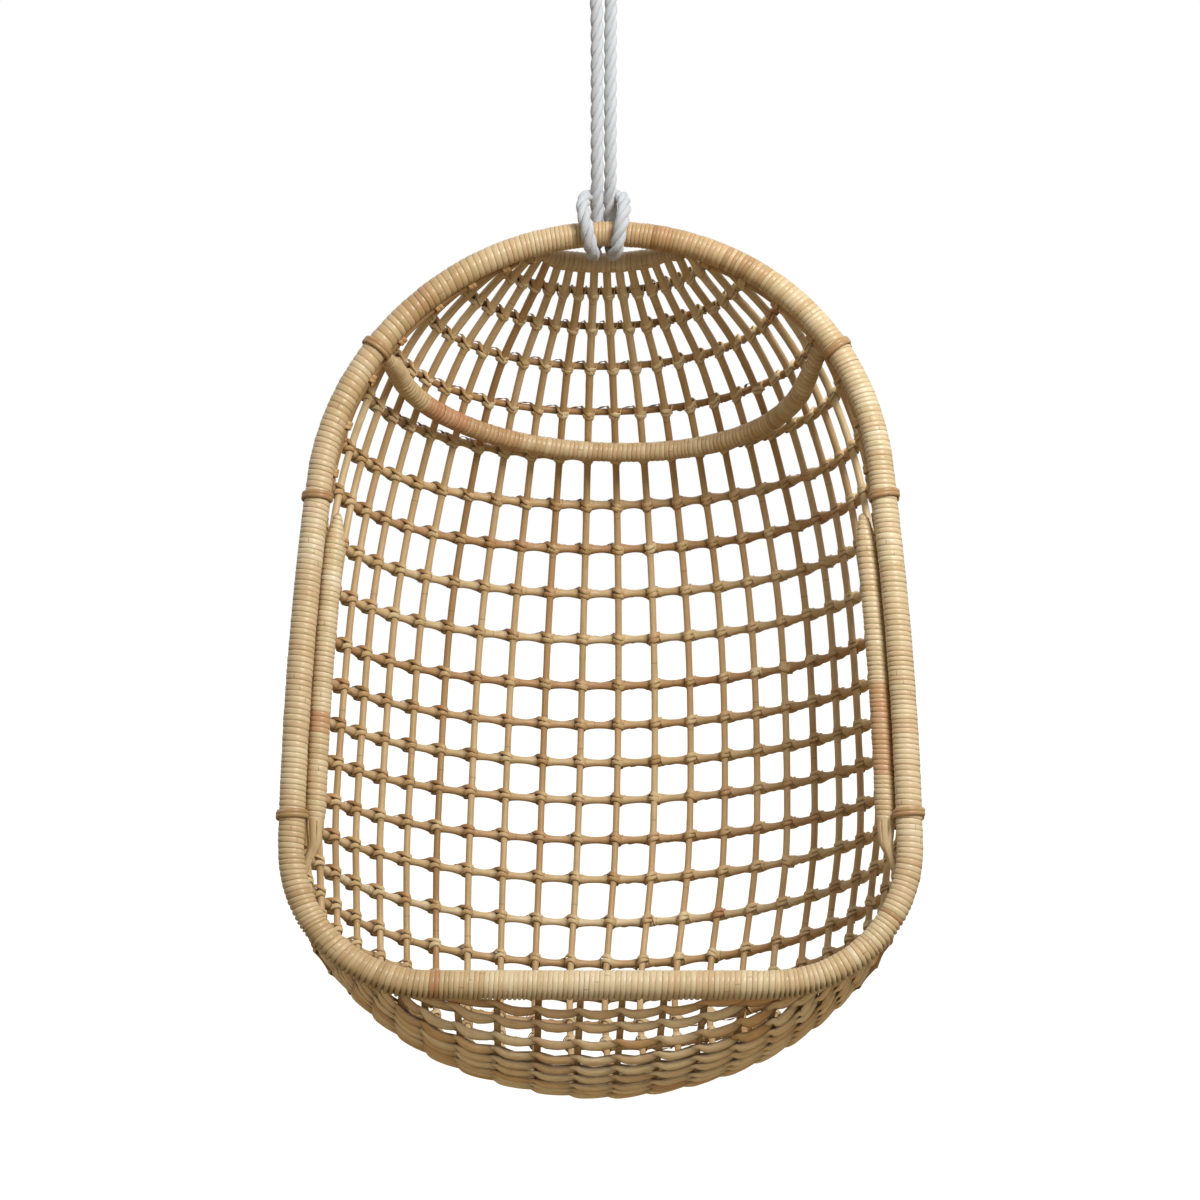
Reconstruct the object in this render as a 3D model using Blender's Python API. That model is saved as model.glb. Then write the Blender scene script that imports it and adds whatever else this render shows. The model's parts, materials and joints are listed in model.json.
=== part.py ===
"""Hanging egg chair: a reclined rattan basket on a wrapped rim, hung by a doubled rope from a hook.

Frame: metres, +Z up. The sitter faces -Y. The origin is on the ceiling plate's top face, over the rope.
Basket places are (x, down, back): across, down the rim's own plane from its apex, and behind that plane.
"""

import functools
import math

import bpy
import numpy as np

MM = 0.001

# --- Ceiling fitting ---
PLATE_RADIUS = 40 * MM
PLATE_THICKNESS = 5 * MM
PLATE_SCREW_RADIUS = 2.7 * MM
PLATE_SCREW_SPACING = 56 * MM
BOSS_RADIUS = 17 * MM
BOSS_LENGTH = 22 * MM
STEM_RADIUS = 6 * MM
STEM_HEAD_RADIUS = 10.5 * MM
STEM_HEAD_HEIGHT = 8 * MM
POCKET_ROOF = 4 * MM
RUNNING_GAP = 0.3 * MM
FORK_GAP_BELOW_BOSS = 1.0 * MM
FORK_WALL = 5 * MM
FORK_WIDTH = 18 * MM
FORK_BELOW_PIN = 9 * MM
PIN_RADIUS = 5 * MM
PIN_HEAD_RADIUS = 7.5 * MM
PIN_HEAD_LENGTH = 2.5 * MM
HOOK_ROD_RADIUS = 5 * MM
HOOK_SIDE_GAP = 1.0 * MM
HOOK_SADDLE_RADIUS = 19 * MM
HOOK_NECK = 28 * MM
HOOK_TIP_ANGLE = math.radians(12)

# --- Rope ---
ROPE_RADIUS = 8 * MM
ROPE_DROP = 0.36
STRAIGHT_LEG = 0.030
SADDLE_GAP = 1.2 * MM
ROPE_LEG_GAP = 0.5 * MM
HITCH_CLEARANCE = 1.5 * MM
WHIPPING_LENGTH = 34 * MM
WHIPPING_WALL = 2 * MM
WHIPPING_GAP = 0.6 * MM
WHIPPING_BELOW_SADDLE = 9 * MM

# --- Rim: centreline from the apex round one side to the middle of the front bar ---
RIM_RADIUS = 15.5 * MM
ARCH_RADIUS = 0.340
ARCH_TURN = math.radians(84)
SIDE_LENGTH = 0.455
CORNER_RADIUS = 0.164
FRONT_BAR_HALF = 0.200
RECLINE = math.radians(13.7)
BASKET_OFFSET = -0.004
CHORD_SAG = 0.15 * MM
RIM_SWAY = 0.0117
SWAY_ENDS = 0.36
SWAY_DEPTH = 0.05

# --- Poles that stiffen the basket ---
TOP_BAR_RADIUS = 12.5 * MM
HOOP_RADIUS = 12.5 * MM
HOOP_AT = 0.282
HOOP_END_RISE = 0.026
HOOP_WARP_GAP = 1.2 * MM
SIDE_POLE_RADIUS = 12.5 * MM
SIDE_POLE_IN = 25.5 * MM
SIDE_POLE_FROM = 0.545
SIDE_POLE_TO = 0.950
POLE_TIP_RADIUS = 5 * MM
POLE_TAPER = 0.050
RING_AT = (0.330, 0.530, 0.918)
RING_WIDTH = 12 * MM
RING_WALL = 3 * MM
RING_GAP = 0.5 * MM

# --- Cane mesh ---
CANE_RADIUS = 4.2 * MM
CROSSING_GAP = 0.8 * MM
BUTT_GAP = 0.4 * MM
END_GAP = 0.8 * MM
TOP_BAR_GAP = 1.6 * MM
WEFT_END_GAP = 2 * MM
WARPS_PER_SIDE = 12
SEAT_WEAVE_FROM = 1.085
SEAT_WEAVE_TO = 1.44
SEAT_WEAVE_THICKNESS = 4 * MM
SEAT_WEAVE_GAP = 1.1 * MM
SEAT_WEAVE_EDGE = 6 * MM
SEAT_WEAVE_COLUMNS = 40
SEAT_STATIONS = 9

# Side view of the basket, (down, back), from the top bar round to the front bar's centre.
PROFILE = (
    (0.0185, 0.052),
    (0.066, 0.138),
    (0.153, 0.242),
    (0.262, 0.339),
    (0.420, 0.396),
    (0.560, 0.421),
    (0.700, 0.415),
    (0.830, 0.395),
    (0.945, 0.333),
    (1.022, 0.236),
    (1.026, 0.125),
    (0.9255, 0.0),
)
# Lengths along the side view at which the open rows cross it.
OPEN_ROWS = (0.052, 0.109, 0.170, 0.237, 0.303, 0.372, 0.431, 0.490, 0.551,
             0.612, 0.664, 0.714, 0.764, 0.818, 0.871, 0.929, 0.986, 1.042)
# Each of these is (length along the side view, value).
RIM_STATIONS = ((0.0, 0.088), (0.24, 0.302), (0.54, 0.600), (0.84, 0.885), (1.08, 1.010), (1.40, 1.19))
WARP_SPACING = ((0.0, 0.0150), (0.06, 0.0195), (0.18, 0.030), (0.36, 0.040), (0.54, 0.0475),
                (0.84, 0.0505), (1.05, 0.0455), (1.20, 0.046), (1.45, 0.0485))
WARP_DRIFT = ((0.0, 0.0), (0.50, 0.001), (0.84, -0.006), (1.05, -0.017), (1.20, -0.012), (1.45, 0.0))
ROUNDNESS = ((0.0, 1.9), (0.30, 2.1), (0.84, 1.9), (1.05, 2.1), (1.20, 1.82), (1.45, 2.0))

COLOURS = {
    "wrapped_rattan": ((0.72, 0.60, 0.36), 0.45, 0.0),
    "cane": ((0.58, 0.42, 0.22), 0.5, 0.0),
    "binding_cane": ((0.42, 0.28, 0.14), 0.5, 0.0),
    "twined_cane": ((0.46, 0.33, 0.17), 0.55, 0.0),
    "cotton_rope": ((0.72, 0.73, 0.75), 0.9, 0.0),
    "zinc_steel": ((0.55, 0.56, 0.58), 0.35, 1.0),
}


# --- Scene and materials ---


def clear_scene():
    for obj in list(bpy.data.objects):
        bpy.data.objects.remove(obj, do_unlink=True)


def add_material(node_name, finish):
    colour, roughness, metallic = COLOURS[finish]
    material = bpy.data.materials.new(node_name)
    material.use_nodes = True
    shader = material.node_tree.nodes["Principled BSDF"]
    shader.inputs["Base Color"].default_value = (*colour, 1.0)
    shader.inputs["Roughness"].default_value = roughness
    shader.inputs["Metallic"].default_value = metallic
    return material


def add_axis(name, place, parent=None):
    """An empty on a joint's axis, which carries the pieces that move on it."""
    empty = bpy.data.objects.new(name, None)
    bpy.context.scene.collection.objects.link(empty)
    empty.parent = parent
    empty.location = np.subtract(place, world_place(parent))
    return empty


def world_place(obj):
    place = np.zeros(3)
    while obj is not None:
        place = place + np.array(obj.location)
        obj = obj.parent
    return place


def add_object(name, data, body, finish):
    obj = bpy.data.objects.new(name, data)
    bpy.context.scene.collection.objects.link(obj)
    obj.parent = body
    data.materials.append(add_material(name, finish))
    return obj


def add_mesh(name, body, vertices, faces, finish, sharp=40):
    """A mesh object from world places, with its origin on its body's joint axis."""
    data = bpy.data.meshes.new(name)
    local = np.asarray(vertices) - world_place(body)
    data.from_pydata(local.tolist(), [], faces)
    data.shade_smooth()
    data.set_sharp_from_angle(angle=math.radians(sharp))
    return add_object(name, data, body, finish)


def boolean(obj, helper, operation):
    helper.hide_render = True
    helper.display_type = "WIRE"
    cut = obj.modifiers.new(helper.name, "BOOLEAN")
    cut.operation = operation
    cut.solver = "EXACT"
    cut.object = helper


# --- Curves and sweeps ---


def spline(stations):
    """A smooth function through (knot, value) stations; a value may be a number or a point."""
    knots = np.array([knot for knot, _ in stations])
    values = np.array([value for _, value in stations], float)
    slopes = np.gradient(values, knots, axis=0)

    def at(knot):
        i = int(np.clip(np.searchsorted(knots, knot) - 1, 0, len(knots) - 2))
        width = knots[i + 1] - knots[i]
        t = (knot - knots[i]) / width
        start = (1 + 2 * t) * (1 - t) ** 2 * values[i] + t * (1 - t) ** 2 * width * slopes[i]
        end = t * t * (3 - 2 * t) * values[i + 1] + t * t * (t - 1) * width * slopes[i + 1]
        return start + end

    return at


def through(points):
    """A spline through points, with the distance between them as its knots."""
    points = np.array(points, float)
    steps = np.linalg.norm(np.diff(points, axis=0), axis=1)
    knots = np.concatenate([[0.0], np.cumsum(steps)])
    return spline(list(zip(knots, points))), knots[-1], knots


def unit(vector):
    return vector / np.linalg.norm(vector)


def sweep(points, normals, radii, sides, closed=False):
    """Vertices and faces of a rod whose flats face the normals; a radius is from the centre to a flat."""
    points = np.asarray(points)
    count = len(points)
    angles = (np.arange(sides) + 0.5) * 2 * math.pi / sides
    corner = 1 / math.cos(math.pi / sides)
    vertices = []
    for i in range(count):
        before = points[i - 1] if closed or i else points[i]
        after = points[(i + 1) % count] if closed or i < count - 1 else points[i]
        tangent = unit(after - before)
        normal = unit(normals[i] - np.dot(normals[i], tangent) * tangent)
        side = np.cross(tangent, normal)
        for angle in angles:
            spoke = math.cos(angle) * normal + math.sin(angle) * side
            vertices.append(points[i] + radii[i] * corner * spoke)
    faces = []
    for i in range(count if closed else count - 1):
        low, high = i * sides, (i + 1) % count * sides
        for j in range(sides):
            k = (j + 1) % sides
            faces.append((low + j, low + k, high + k, high + j))
    if not closed:
        faces.append(tuple(reversed(range(sides))))
        faces.append(tuple(range((count - 1) * sides, count * sides)))
    return vertices, faces


def lathe(profile, centre, axis, steps):
    """A turned solid whose first and last (radius, height) points are closed by flat caps."""
    axis = np.array(axis, float)
    across = np.array((0.0, 1.0, 0.0)) if abs(axis[1]) < 0.5 else np.array((1.0, 0.0, 0.0))
    third = np.cross(axis, across)
    vertices = []
    for radius, height in profile:
        for i in range(steps):
            turn = 2 * math.pi * (i + 0.5) / steps
            around = math.cos(turn) * across + math.sin(turn) * third
            vertices.append(np.array(centre) + height * axis + radius * around)
    faces = [tuple(reversed(range(steps))), tuple(range(len(vertices) - steps, len(vertices)))]
    for low in range(0, len(vertices) - steps, steps):
        for i in range(steps):
            k = (i + 1) % steps
            faces.append((low + i, low + k, low + steps + k, low + steps + i))
    return vertices, faces


def ring_solid(centre, tangent, normal, inner, outer, width, steps):
    """A sleeve of rectangular section round a rod, clear of it by flats at the inner radius."""
    side = np.cross(tangent, normal)
    vertices, faces = [], []
    inner, outer = inner / math.cos(math.pi / steps), outer / math.cos(math.pi / steps)
    corners = ((inner, -width / 2), (outer, -width / 2), (outer, width / 2), (inner, width / 2))
    for i in range(steps):
        turn = 2 * math.pi * i / steps
        around = math.cos(turn) * normal + math.sin(turn) * side
        vertices += [centre + radius * around + along * tangent for radius, along in corners]
    for i in range(steps):
        k = (i + 1) % steps
        for j in range(4):
            m = (j + 1) % 4
            faces.append((4 * i + j, 4 * k + j, 4 * k + m, 4 * i + m))
    return vertices, faces


# --- Heights that follow from the sizes ---


def fitting_heights():
    """Heights of the fork's bridge, the hook's pin and the hook's saddle."""
    bridge_top = BOSS_END - FORK_GAP_BELOW_BOSS
    pin = bridge_top - FORK_WALL - HOOK_SIDE_GAP - HOOK_ROD_RADIUS - EYE_RADIUS
    saddle = pin - EYE_RADIUS - HOOK_NECK - HOOK_SADDLE_RADIUS
    return bridge_top, pin, saddle


BOSS_END = -(PLATE_THICKNESS + BOSS_LENGTH)
EYE_RADIUS = PIN_RADIUS + HOOK_ROD_RADIUS + RUNNING_GAP
BRIDGE_TOP, PIN_Z, SADDLE_Z = fitting_heights()
APEX_Z = SADDLE_Z - ROPE_DROP


# --- Basket shape ---

SIDE_TURN = math.pi / 2 - ARCH_TURN
RIM_RUNS = (
    (ARCH_RADIUS * ARCH_TURN, ARCH_RADIUS),
    (SIDE_LENGTH, SIDE_LENGTH / SIDE_TURN),
    (CORNER_RADIUS * math.pi / 2, CORNER_RADIUS),
    (FRONT_BAR_HALF, None),
)
HALF_RIM = sum(run for run, _ in RIM_RUNS)


def rim_point(length):
    """(x, down) of the rim's centreline this far from its apex."""
    x = down = heading = 0.0
    for run, radius in RIM_RUNS:
        step = min(run, length)
        if radius:
            turned = heading + step / radius
            x += radius * (math.sin(turned) - math.sin(heading))
            down += radius * (math.cos(heading) - math.cos(turned))
            heading = turned
        else:
            x -= step
        length -= step
    return x, down


def world(x, down, back):
    """World place of a basket place. The hand-bent rim sways to one side towards its apex."""
    t = min(max(down / SWAY_ENDS, 0.0), 1.0)
    sway = RIM_SWAY * (1 - t * t * (3 - 2 * t)) * max(0.0, 1 - back / SWAY_DEPTH)
    y = back * math.cos(RECLINE) - down * math.sin(RECLINE)
    z = APEX_Z - down * math.cos(RECLINE) - back * math.sin(RECLINE)
    return np.array((x + BASKET_OFFSET + sway, y, z))


def profile_table():
    curve, total, _ = through(PROFILE)
    places = np.array([curve(knot) for knot in np.linspace(0, total, 600)])
    steps = np.linalg.norm(np.diff(places, axis=0), axis=1)
    return np.concatenate([[0.0], np.cumsum(steps)]), places


PROFILE_LENGTHS, PROFILE_PLACES = profile_table()
PROFILE_LENGTH = PROFILE_LENGTHS[-1]
rim_station = spline(RIM_STATIONS)
warp_spacing = spline(WARP_SPACING)
warp_drift = spline(WARP_DRIFT)
roundness = spline(ROUNDNESS)


@functools.lru_cache(maxsize=None)
def row(along):
    """Half a row of the basket at this length along the side view: lengths from its centre, and places."""
    down_mid = float(np.interp(along, PROFILE_LENGTHS, PROFILE_PLACES[:, 0]))
    back_mid = float(np.interp(along, PROFILE_LENGTHS, PROFILE_PLACES[:, 1]))
    x_end, down_end = rim_point(float(rim_station(along)))
    start = RIM_RADIUS + WEFT_END_GAP
    power = 2 / float(roundness(along))
    angle = np.linspace(math.pi / 2, 0, 240)
    x = x_end * np.clip(np.cos(angle), 0, 1) ** power
    out = np.clip(np.sin(angle), 0, 1) ** power
    down = down_end + (down_mid - down_end) * out
    back = start + (back_mid - start) * out
    places = np.stack([x, down, back], axis=1)
    steps = np.linalg.norm(np.diff(places, axis=0), axis=1)
    return np.concatenate([[0.0], np.cumsum(steps)]), places


def half_length(along):
    return row(along)[0][-1]


def surface(along, across):
    """World place on the basket's middle surface, from lengths along the side view and across the row."""
    lengths, places = row(along)
    x, down, back = (np.interp(abs(across), lengths, places[:, i]) for i in range(3))
    return world(math.copysign(x, across), down, back)


def outward(along, across):
    """The surface's unit normal, pointing out of the basket."""
    small = 0.002
    along = min(max(along, small), PROFILE_LENGTH - 3 * small)
    reach = half_length(along) - 2 * small
    across = min(max(across, -reach), reach)
    share = across / half_length(along)
    ahead = surface(along + small, share * half_length(along + small))
    behind = surface(along - small, share * half_length(along - small))
    right = surface(along, across + small)
    left = surface(along, across - small)
    return unit(np.cross(right - left, ahead - behind))


def offset_place(along, across, distance):
    return surface(along, across) + distance * outward(along, across)


# --- Ceiling fitting ---


def build_ceiling_plate(body):
    pocket = STEM_HEAD_RADIUS + RUNNING_GAP
    bore = STEM_RADIUS + RUNNING_GAP
    roof = -POCKET_ROOF
    floor = roof - STEM_HEAD_HEIGHT - 2 * RUNNING_GAP
    profile = (
        (pocket, roof), (pocket, floor), (bore, floor), (bore, BOSS_END), (BOSS_RADIUS, BOSS_END),
        (BOSS_RADIUS, -PLATE_THICKNESS), (PLATE_RADIUS, -PLATE_THICKNESS), (PLATE_RADIUS, 0),
    )
    plate = add_mesh("ceiling_plate", body, *lathe(profile, (0, 0, 0), (0, 0, 1), 24), "zinc_steel")
    for i, side in enumerate((-1, 1)):
        hole = ((PLATE_SCREW_RADIUS, -2 * PLATE_THICKNESS), (PLATE_SCREW_RADIUS, PLATE_THICKNESS))
        centre = (side * PLATE_SCREW_SPACING / 2, 0, 0)
        cutter = add_mesh(f"plate_screw_hole_{i}", body, *lathe(hole, centre, (0, 0, 1), 12), "zinc_steel")
        boolean(plate, cutter, "DIFFERENCE")


def build_swivel_fork(body):
    inner = HOOK_ROD_RADIUS + HOOK_SIDE_GAP
    outer = inner + FORK_WALL
    top, bridge, foot = BRIDGE_TOP, BRIDGE_TOP - FORK_WALL, PIN_Z - FORK_BELOW_PIN
    outline = ((-outer, top), (-outer, foot), (-inner, foot), (-inner, bridge),
               (inner, bridge), (inner, foot), (outer, foot), (outer, top))
    count = len(outline)
    half = FORK_WIDTH / 2
    vertices = [(x, y, z) for y in (-half, half) for x, z in outline]
    faces = [tuple(range(count)), tuple(reversed(range(count, 2 * count)))]
    faces += [(i, i + count, (i + 1) % count + count, (i + 1) % count) for i in range(count)]
    fork = add_mesh("swivel_fork", body, vertices, faces, "zinc_steel")
    head_top = -POCKET_ROOF - RUNNING_GAP
    head_foot = head_top - STEM_HEAD_HEIGHT
    profile = ((STEM_RADIUS, bridge + FORK_WALL / 2), (STEM_RADIUS, head_foot),
               (STEM_HEAD_RADIUS, head_foot), (STEM_HEAD_RADIUS, head_top))
    stem = add_mesh("swivel_stem", body, *lathe(profile, (0, 0, 0), (0, 0, 1), 16), "zinc_steel")
    boolean(fork, stem, "UNION")
    hole = PIN_RADIUS + RUNNING_GAP
    bore = ((hole, -2 * outer), (hole, 2 * outer))
    cutter = add_mesh("fork_pin_bore", body, *lathe(bore, (0, 0, PIN_Z), (1, 0, 0), 16), "zinc_steel")
    boolean(fork, cutter, "DIFFERENCE")


def build_hook_pin(body):
    shank = HOOK_ROD_RADIUS + HOOK_SIDE_GAP + FORK_WALL + RUNNING_GAP
    end = shank + PIN_HEAD_LENGTH
    profile = ((PIN_HEAD_RADIUS, -end), (PIN_HEAD_RADIUS, -shank), (PIN_RADIUS, -shank),
               (PIN_RADIUS, shank), (PIN_HEAD_RADIUS, shank), (PIN_HEAD_RADIUS, end))
    add_mesh("hook_pin", body, *lathe(profile, (0, 0, PIN_Z), (1, 0, 0), 16), "zinc_steel")


def hook_path():
    """Rod centreline as (back, height): an eye round the pin, a neck, and a saddle under the rope."""
    eye = [(EYE_RADIUS * math.cos(turn), PIN_Z + EYE_RADIUS * math.sin(turn))
           for turn in np.radians(np.arange(232, -31, -22))]
    centre = SADDLE_Z + HOOK_SADDLE_RADIUS
    saddle = [(HOOK_SADDLE_RADIUS * math.cos(turn), centre + HOOK_SADDLE_RADIUS * math.sin(turn))
              for turn in np.arange(0.2, -math.pi - HOOK_TIP_ANGLE, -math.radians(18))]
    return eye + saddle


def build_hook(body):
    points = [np.array((0.0, back, height)) for back, height in hook_path()]
    normals = [np.array((1.0, 0.0, 0.0))] * len(points)
    radii = [HOOK_ROD_RADIUS * math.cos(math.pi / 8)] * len(points)
    add_mesh("hook", body, *sweep(points, normals, radii, 8), "zinc_steel")


# --- Rope ---


def rope_route():
    """Route points of the rope, from its joint below the hook, round the hitch and back over the hook."""
    leg = ROPE_RADIUS + ROPE_LEG_GAP / 2
    wrap = RIM_RADIUS + ROPE_RADIUS + HITCH_CLEARANCE
    over = HOOK_ROD_RADIUS + ROPE_RADIUS + SADDLE_GAP
    joint = WHIPPING_BELOW_SADDLE + WHIPPING_LENGTH / 2
    apex = APEX_Z
    down_right = [
        (over - 1.0 * MM, 0.0, SADDLE_Z - joint),
        (over - 2.2 * MM, 0.0, SADDLE_Z - 0.045),
        (leg + 0.6 * MM, 0.0, SADDLE_Z - 0.080),
        (leg, 0.0, SADDLE_Z - 0.130),
        (leg, 0.0, apex + 0.170),
        (leg, 0.001, apex + 0.110),
        (leg, 0.006, apex + 0.070),
        (leg, 0.015, apex + 0.042),
        (leg, 0.0225, apex + 0.018),
        (leg + 0.5 * MM, wrap, apex - 0.002),
        (leg + 2.0 * MM, 0.72 * wrap, apex - 0.70 * wrap),
        (leg + 4.5 * MM, 0.0, apex - 1.02 * wrap),
        (leg + 8.0 * MM, -0.76 * wrap, apex - 0.70 * wrap),
        (leg + 11.5 * MM, -1.04 * wrap, apex),
        (leg + 15.0 * MM, -0.98 * wrap, apex + 0.016),
        (leg + 17.0 * MM, -0.50 * wrap, apex + 0.033),
        (leg + 13.5 * MM, 0.40 * wrap, apex + 0.0465),
        (leg + 2.5 * MM, 1.26 * wrap, apex + 0.0495),
    ]
    up_left = [(-x, y, z) for x, y, z in reversed(down_right[1:])]
    over_hook = [
        (-over, 0.0, SADDLE_Z - 0.006),
        (-0.72 * over, 0.0, SADDLE_Z + 0.72 * over),
        (0.0, 0.0, SADDLE_Z + over),
        (0.72 * over, 0.0, SADDLE_Z + 0.72 * over),
        (over, 0.0, SADDLE_Z - 0.006),
        (over - 0.9 * MM, 0.0, SADDLE_Z - joint + RUNNING_GAP),
    ]
    return down_right + [(0.0, 1.34 * wrap, apex + 0.0495)] + up_left + over_hook


def rope_points():
    """Two points for each stretch between route points, and one for the straight legs."""
    curve, total, knots = through(rope_route())
    places = []
    for low, high in zip(knots, knots[1:]):
        places.append(curve(low))
        if high - low < STRAIGHT_LEG:
            places.append(curve((low + high) / 2))
    return places + [curve(total)]


def build_rope(body):
    data = bpy.data.curves.new("rope", "CURVE")
    data.dimensions = "3D"
    data.bevel_depth = ROPE_RADIUS
    data.bevel_resolution = 2
    data.use_fill_caps = True
    line = data.splines.new("POLY")
    places = rope_points()
    line.points.add(len(places) - 1)
    for point, place in zip(line.points, places):
        point.co = (*(place - world_place(body)), 1.0)
    add_object("rope", data, body, "cotton_rope")


def build_whipping(body):
    """A sleeve of tight twine over the rope's end-to-end joint."""
    route = [np.array(place) for place in rope_route()]
    centre = (route[0] + route[-1]) / 2
    tangent = unit(route[1] - route[-2])
    inner = ROPE_RADIUS + WHIPPING_GAP
    outer = inner + WHIPPING_WALL
    solid = ring_solid(centre, tangent, np.array((0.0, 1.0, 0.0)), inner, outer, WHIPPING_LENGTH, 16)
    add_mesh("rope_whipping", body, *solid, "cotton_rope")


# --- Rim, poles and bindings ---


def rim_place(side, length, inward=0.0, back=0.0):
    """World place beside the rim's centreline, moved towards the chair's middle and back."""
    small = 0.001
    x, down = rim_point(length)
    x_next, down_next = rim_point(length + small)
    along = unit(np.array((x_next - x, down_next - down)))
    return world(side * (x - inward * along[1]), down + inward * along[0], back)


def basket_back():
    return world(0, 1, 1) - world(0, 1, 0)


def build_front_rim(body):
    """One closed ring, in chords that leave its arcs by no more than CHORD_SAG."""
    lengths = []
    start = 0.0
    for run, radius in RIM_RUNS:
        pieces = math.ceil(run / math.sqrt(8 * radius * CHORD_SAG)) if radius else 3
        lengths += [start + run * i / pieces for i in range(pieces)]
        start += run
    points = [rim_place(1, length) for length in lengths + [HALF_RIM]]
    points += [rim_place(-1, length) for length in reversed(lengths[1:])]
    flat = RIM_RADIUS * math.cos(math.pi / 12)
    sides = sweep(points, [basket_back()] * len(points), [flat] * len(points), 12, closed=True)
    add_mesh("front_rim", body, *sides, "wrapped_rattan")


def tapered(lengths, radius):
    """Radii of a pole whose ends are shaved down to a tip."""
    ends = np.minimum(lengths - lengths[0], lengths[-1] - lengths)
    share = np.clip(ends / POLE_TAPER, 0, 1)
    return POLE_TIP_RADIUS + (radius - POLE_TIP_RADIUS) * share * (2 - share)


def build_pole(name, body, points, normals, radius, sides):
    points = np.array(points)
    steps = np.linalg.norm(np.diff(points, axis=0), axis=1)
    lengths = np.concatenate([[0.0], np.cumsum(steps)])
    radii = tapered(lengths, radius) * math.cos(math.pi / sides)
    add_mesh(name, body, *sweep(points, normals, radii, sides), "wrapped_rattan")


def build_top_bar(body):
    reach = half_length(0.0) - POLE_TIP_RADIUS
    places = np.linspace(-reach, reach, 15)
    normals = [outward(0.0, across) for across in places]
    build_pole("top_bar", body, [surface(0.0, across) for across in places], normals, TOP_BAR_RADIUS, 10)


def build_back_hoop(body):
    """The hoop lies inside the warps, a gap clear of them, and rises a little to its ends."""
    inside = 2 * CANE_RADIUS + HOOP_WARP_GAP + HOOP_RADIUS
    points, normals = [], []
    for share in np.linspace(-1, 1, 29):
        along = HOOP_AT - HOOP_END_RISE * share * share
        across = share * (half_length(along) - POLE_TIP_RADIUS)
        points.append(offset_place(along, across, -inside))
        normals.append(outward(along, across))
    build_pole("back_hoop", body, points, normals, HOOP_RADIUS, 10)


def build_side_poles(body):
    """Each pole rests on the ring bindings, behind the rim and inside it."""
    apart = RIM_RADIUS + RING_GAP + RING_WALL + BUTT_GAP + SIDE_POLE_RADIUS
    behind = math.sqrt(apart * apart - SIDE_POLE_IN * SIDE_POLE_IN)
    lengths = np.linspace(SIDE_POLE_FROM, SIDE_POLE_TO, 13)
    for side, name in ((-1, "left"), (1, "right")):
        points = [rim_place(side, length, SIDE_POLE_IN, behind) for length in lengths]
        build_pole(f"side_pole_{name}", body, points, [basket_back()] * len(points), SIDE_POLE_RADIUS, 10)


def build_ring_bindings(body):
    """Two turns of thick cane round the rim at each place where a pole's end is bound to it."""
    small = 0.002
    for side, name in ((-1, "left"), (1, "right")):
        for i, length in enumerate(RING_AT):
            tangent = unit(rim_place(side, length + small) - rim_place(side, length - small))
            centre, back = rim_place(side, length), basket_back()
            inner = RIM_RADIUS + RING_GAP
            solid = ring_solid(centre, tangent, back, inner, inner + RING_WALL, RING_WIDTH, 20)
            add_mesh(f"ring_binding_{name}_{i + 1}", body, *solid, "binding_cane")


# --- Canes ---


def warp_levels():
    """Lengths along the side view where every warp has a point: at each open row, then along the seat."""
    seat = np.linspace(SEAT_WEAVE_FROM, SEAT_WEAVE_TO, SEAT_STATIONS)
    foot = PROFILE_LENGTH - RIM_RADIUS - END_GAP
    return [TOP_BAR_RADIUS + TOP_BAR_GAP, *OPEN_ROWS, *seat, foot]


def warp_across(side, number, along):
    return side * (number - 0.5) * float(warp_spacing(along)) + float(warp_drift(along))


def room_at(side, number, along):
    """Length left between a warp and its row's end at the rim."""
    return half_length(along) - abs(warp_across(side, number, along)) - 2 * CANE_RADIUS


def edge_station(side, number, inside, beyond):
    """Where a warp runs out of the basket, between a station inside it and one beyond it."""
    for _ in range(30):
        middle = (inside + beyond) / 2
        if room_at(side, number, middle) > 0:
            inside = middle
        else:
            beyond = middle
    return inside


def warp_stations(side, number):
    """The stations of one warp, from the top bar or the rim to the front bar or the rim."""
    stations = warp_levels()
    held = [station for station in stations if room_at(side, number, station) > 0]
    first, last = stations.index(held[0]), stations.index(held[-1])
    if first > 0:
        held.insert(0, edge_station(side, number, held[0], stations[first - 1]))
    if last < len(stations) - 1:
        held.append(edge_station(side, number, held[-1], stations[last + 1]))
    return held


def build_warps(body):
    """Upright canes, inside the rows."""
    inside = -(CANE_RADIUS + CROSSING_GAP / 2)
    for side, name in ((-1, "left"), (1, "right")):
        for number in range(1, WARPS_PER_SIDE + 1):
            stations = warp_stations(side, number)
            crossings = [(station, warp_across(side, number, station)) for station in stations]
            points = [offset_place(*crossing, inside) for crossing in crossings]
            normals = [outward(*crossing) for crossing in crossings]
            radii = [CANE_RADIUS] * len(points)
            add_mesh(f"warp_{name}_{number:02d}", body, *sweep(points, normals, radii, 6), "cane")


def row_crossings(along):
    """Lengths across a row where a warp crosses it, with both of its ends."""
    numbers = range(1, WARPS_PER_SIDE + 1)
    across = [warp_across(side, number, along) for side in (-1, 1) for number in numbers]
    end = half_length(along)
    held = [place for place in across if abs(place) < end - CANE_RADIUS]
    return sorted(held + [-end, end])


def build_wefts(body):
    """Level canes, outside the warps."""
    outside = CANE_RADIUS + CROSSING_GAP / 2
    for i, along in enumerate(OPEN_ROWS):
        places = row_crossings(along)
        points = [offset_place(along, across, outside) for across in places]
        normals = [outward(along, across) for across in places]
        radii = [CANE_RADIUS] * len(points)
        add_mesh(f"weft_{i + 1:02d}", body, *sweep(points, normals, radii, 6), "cane")


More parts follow.
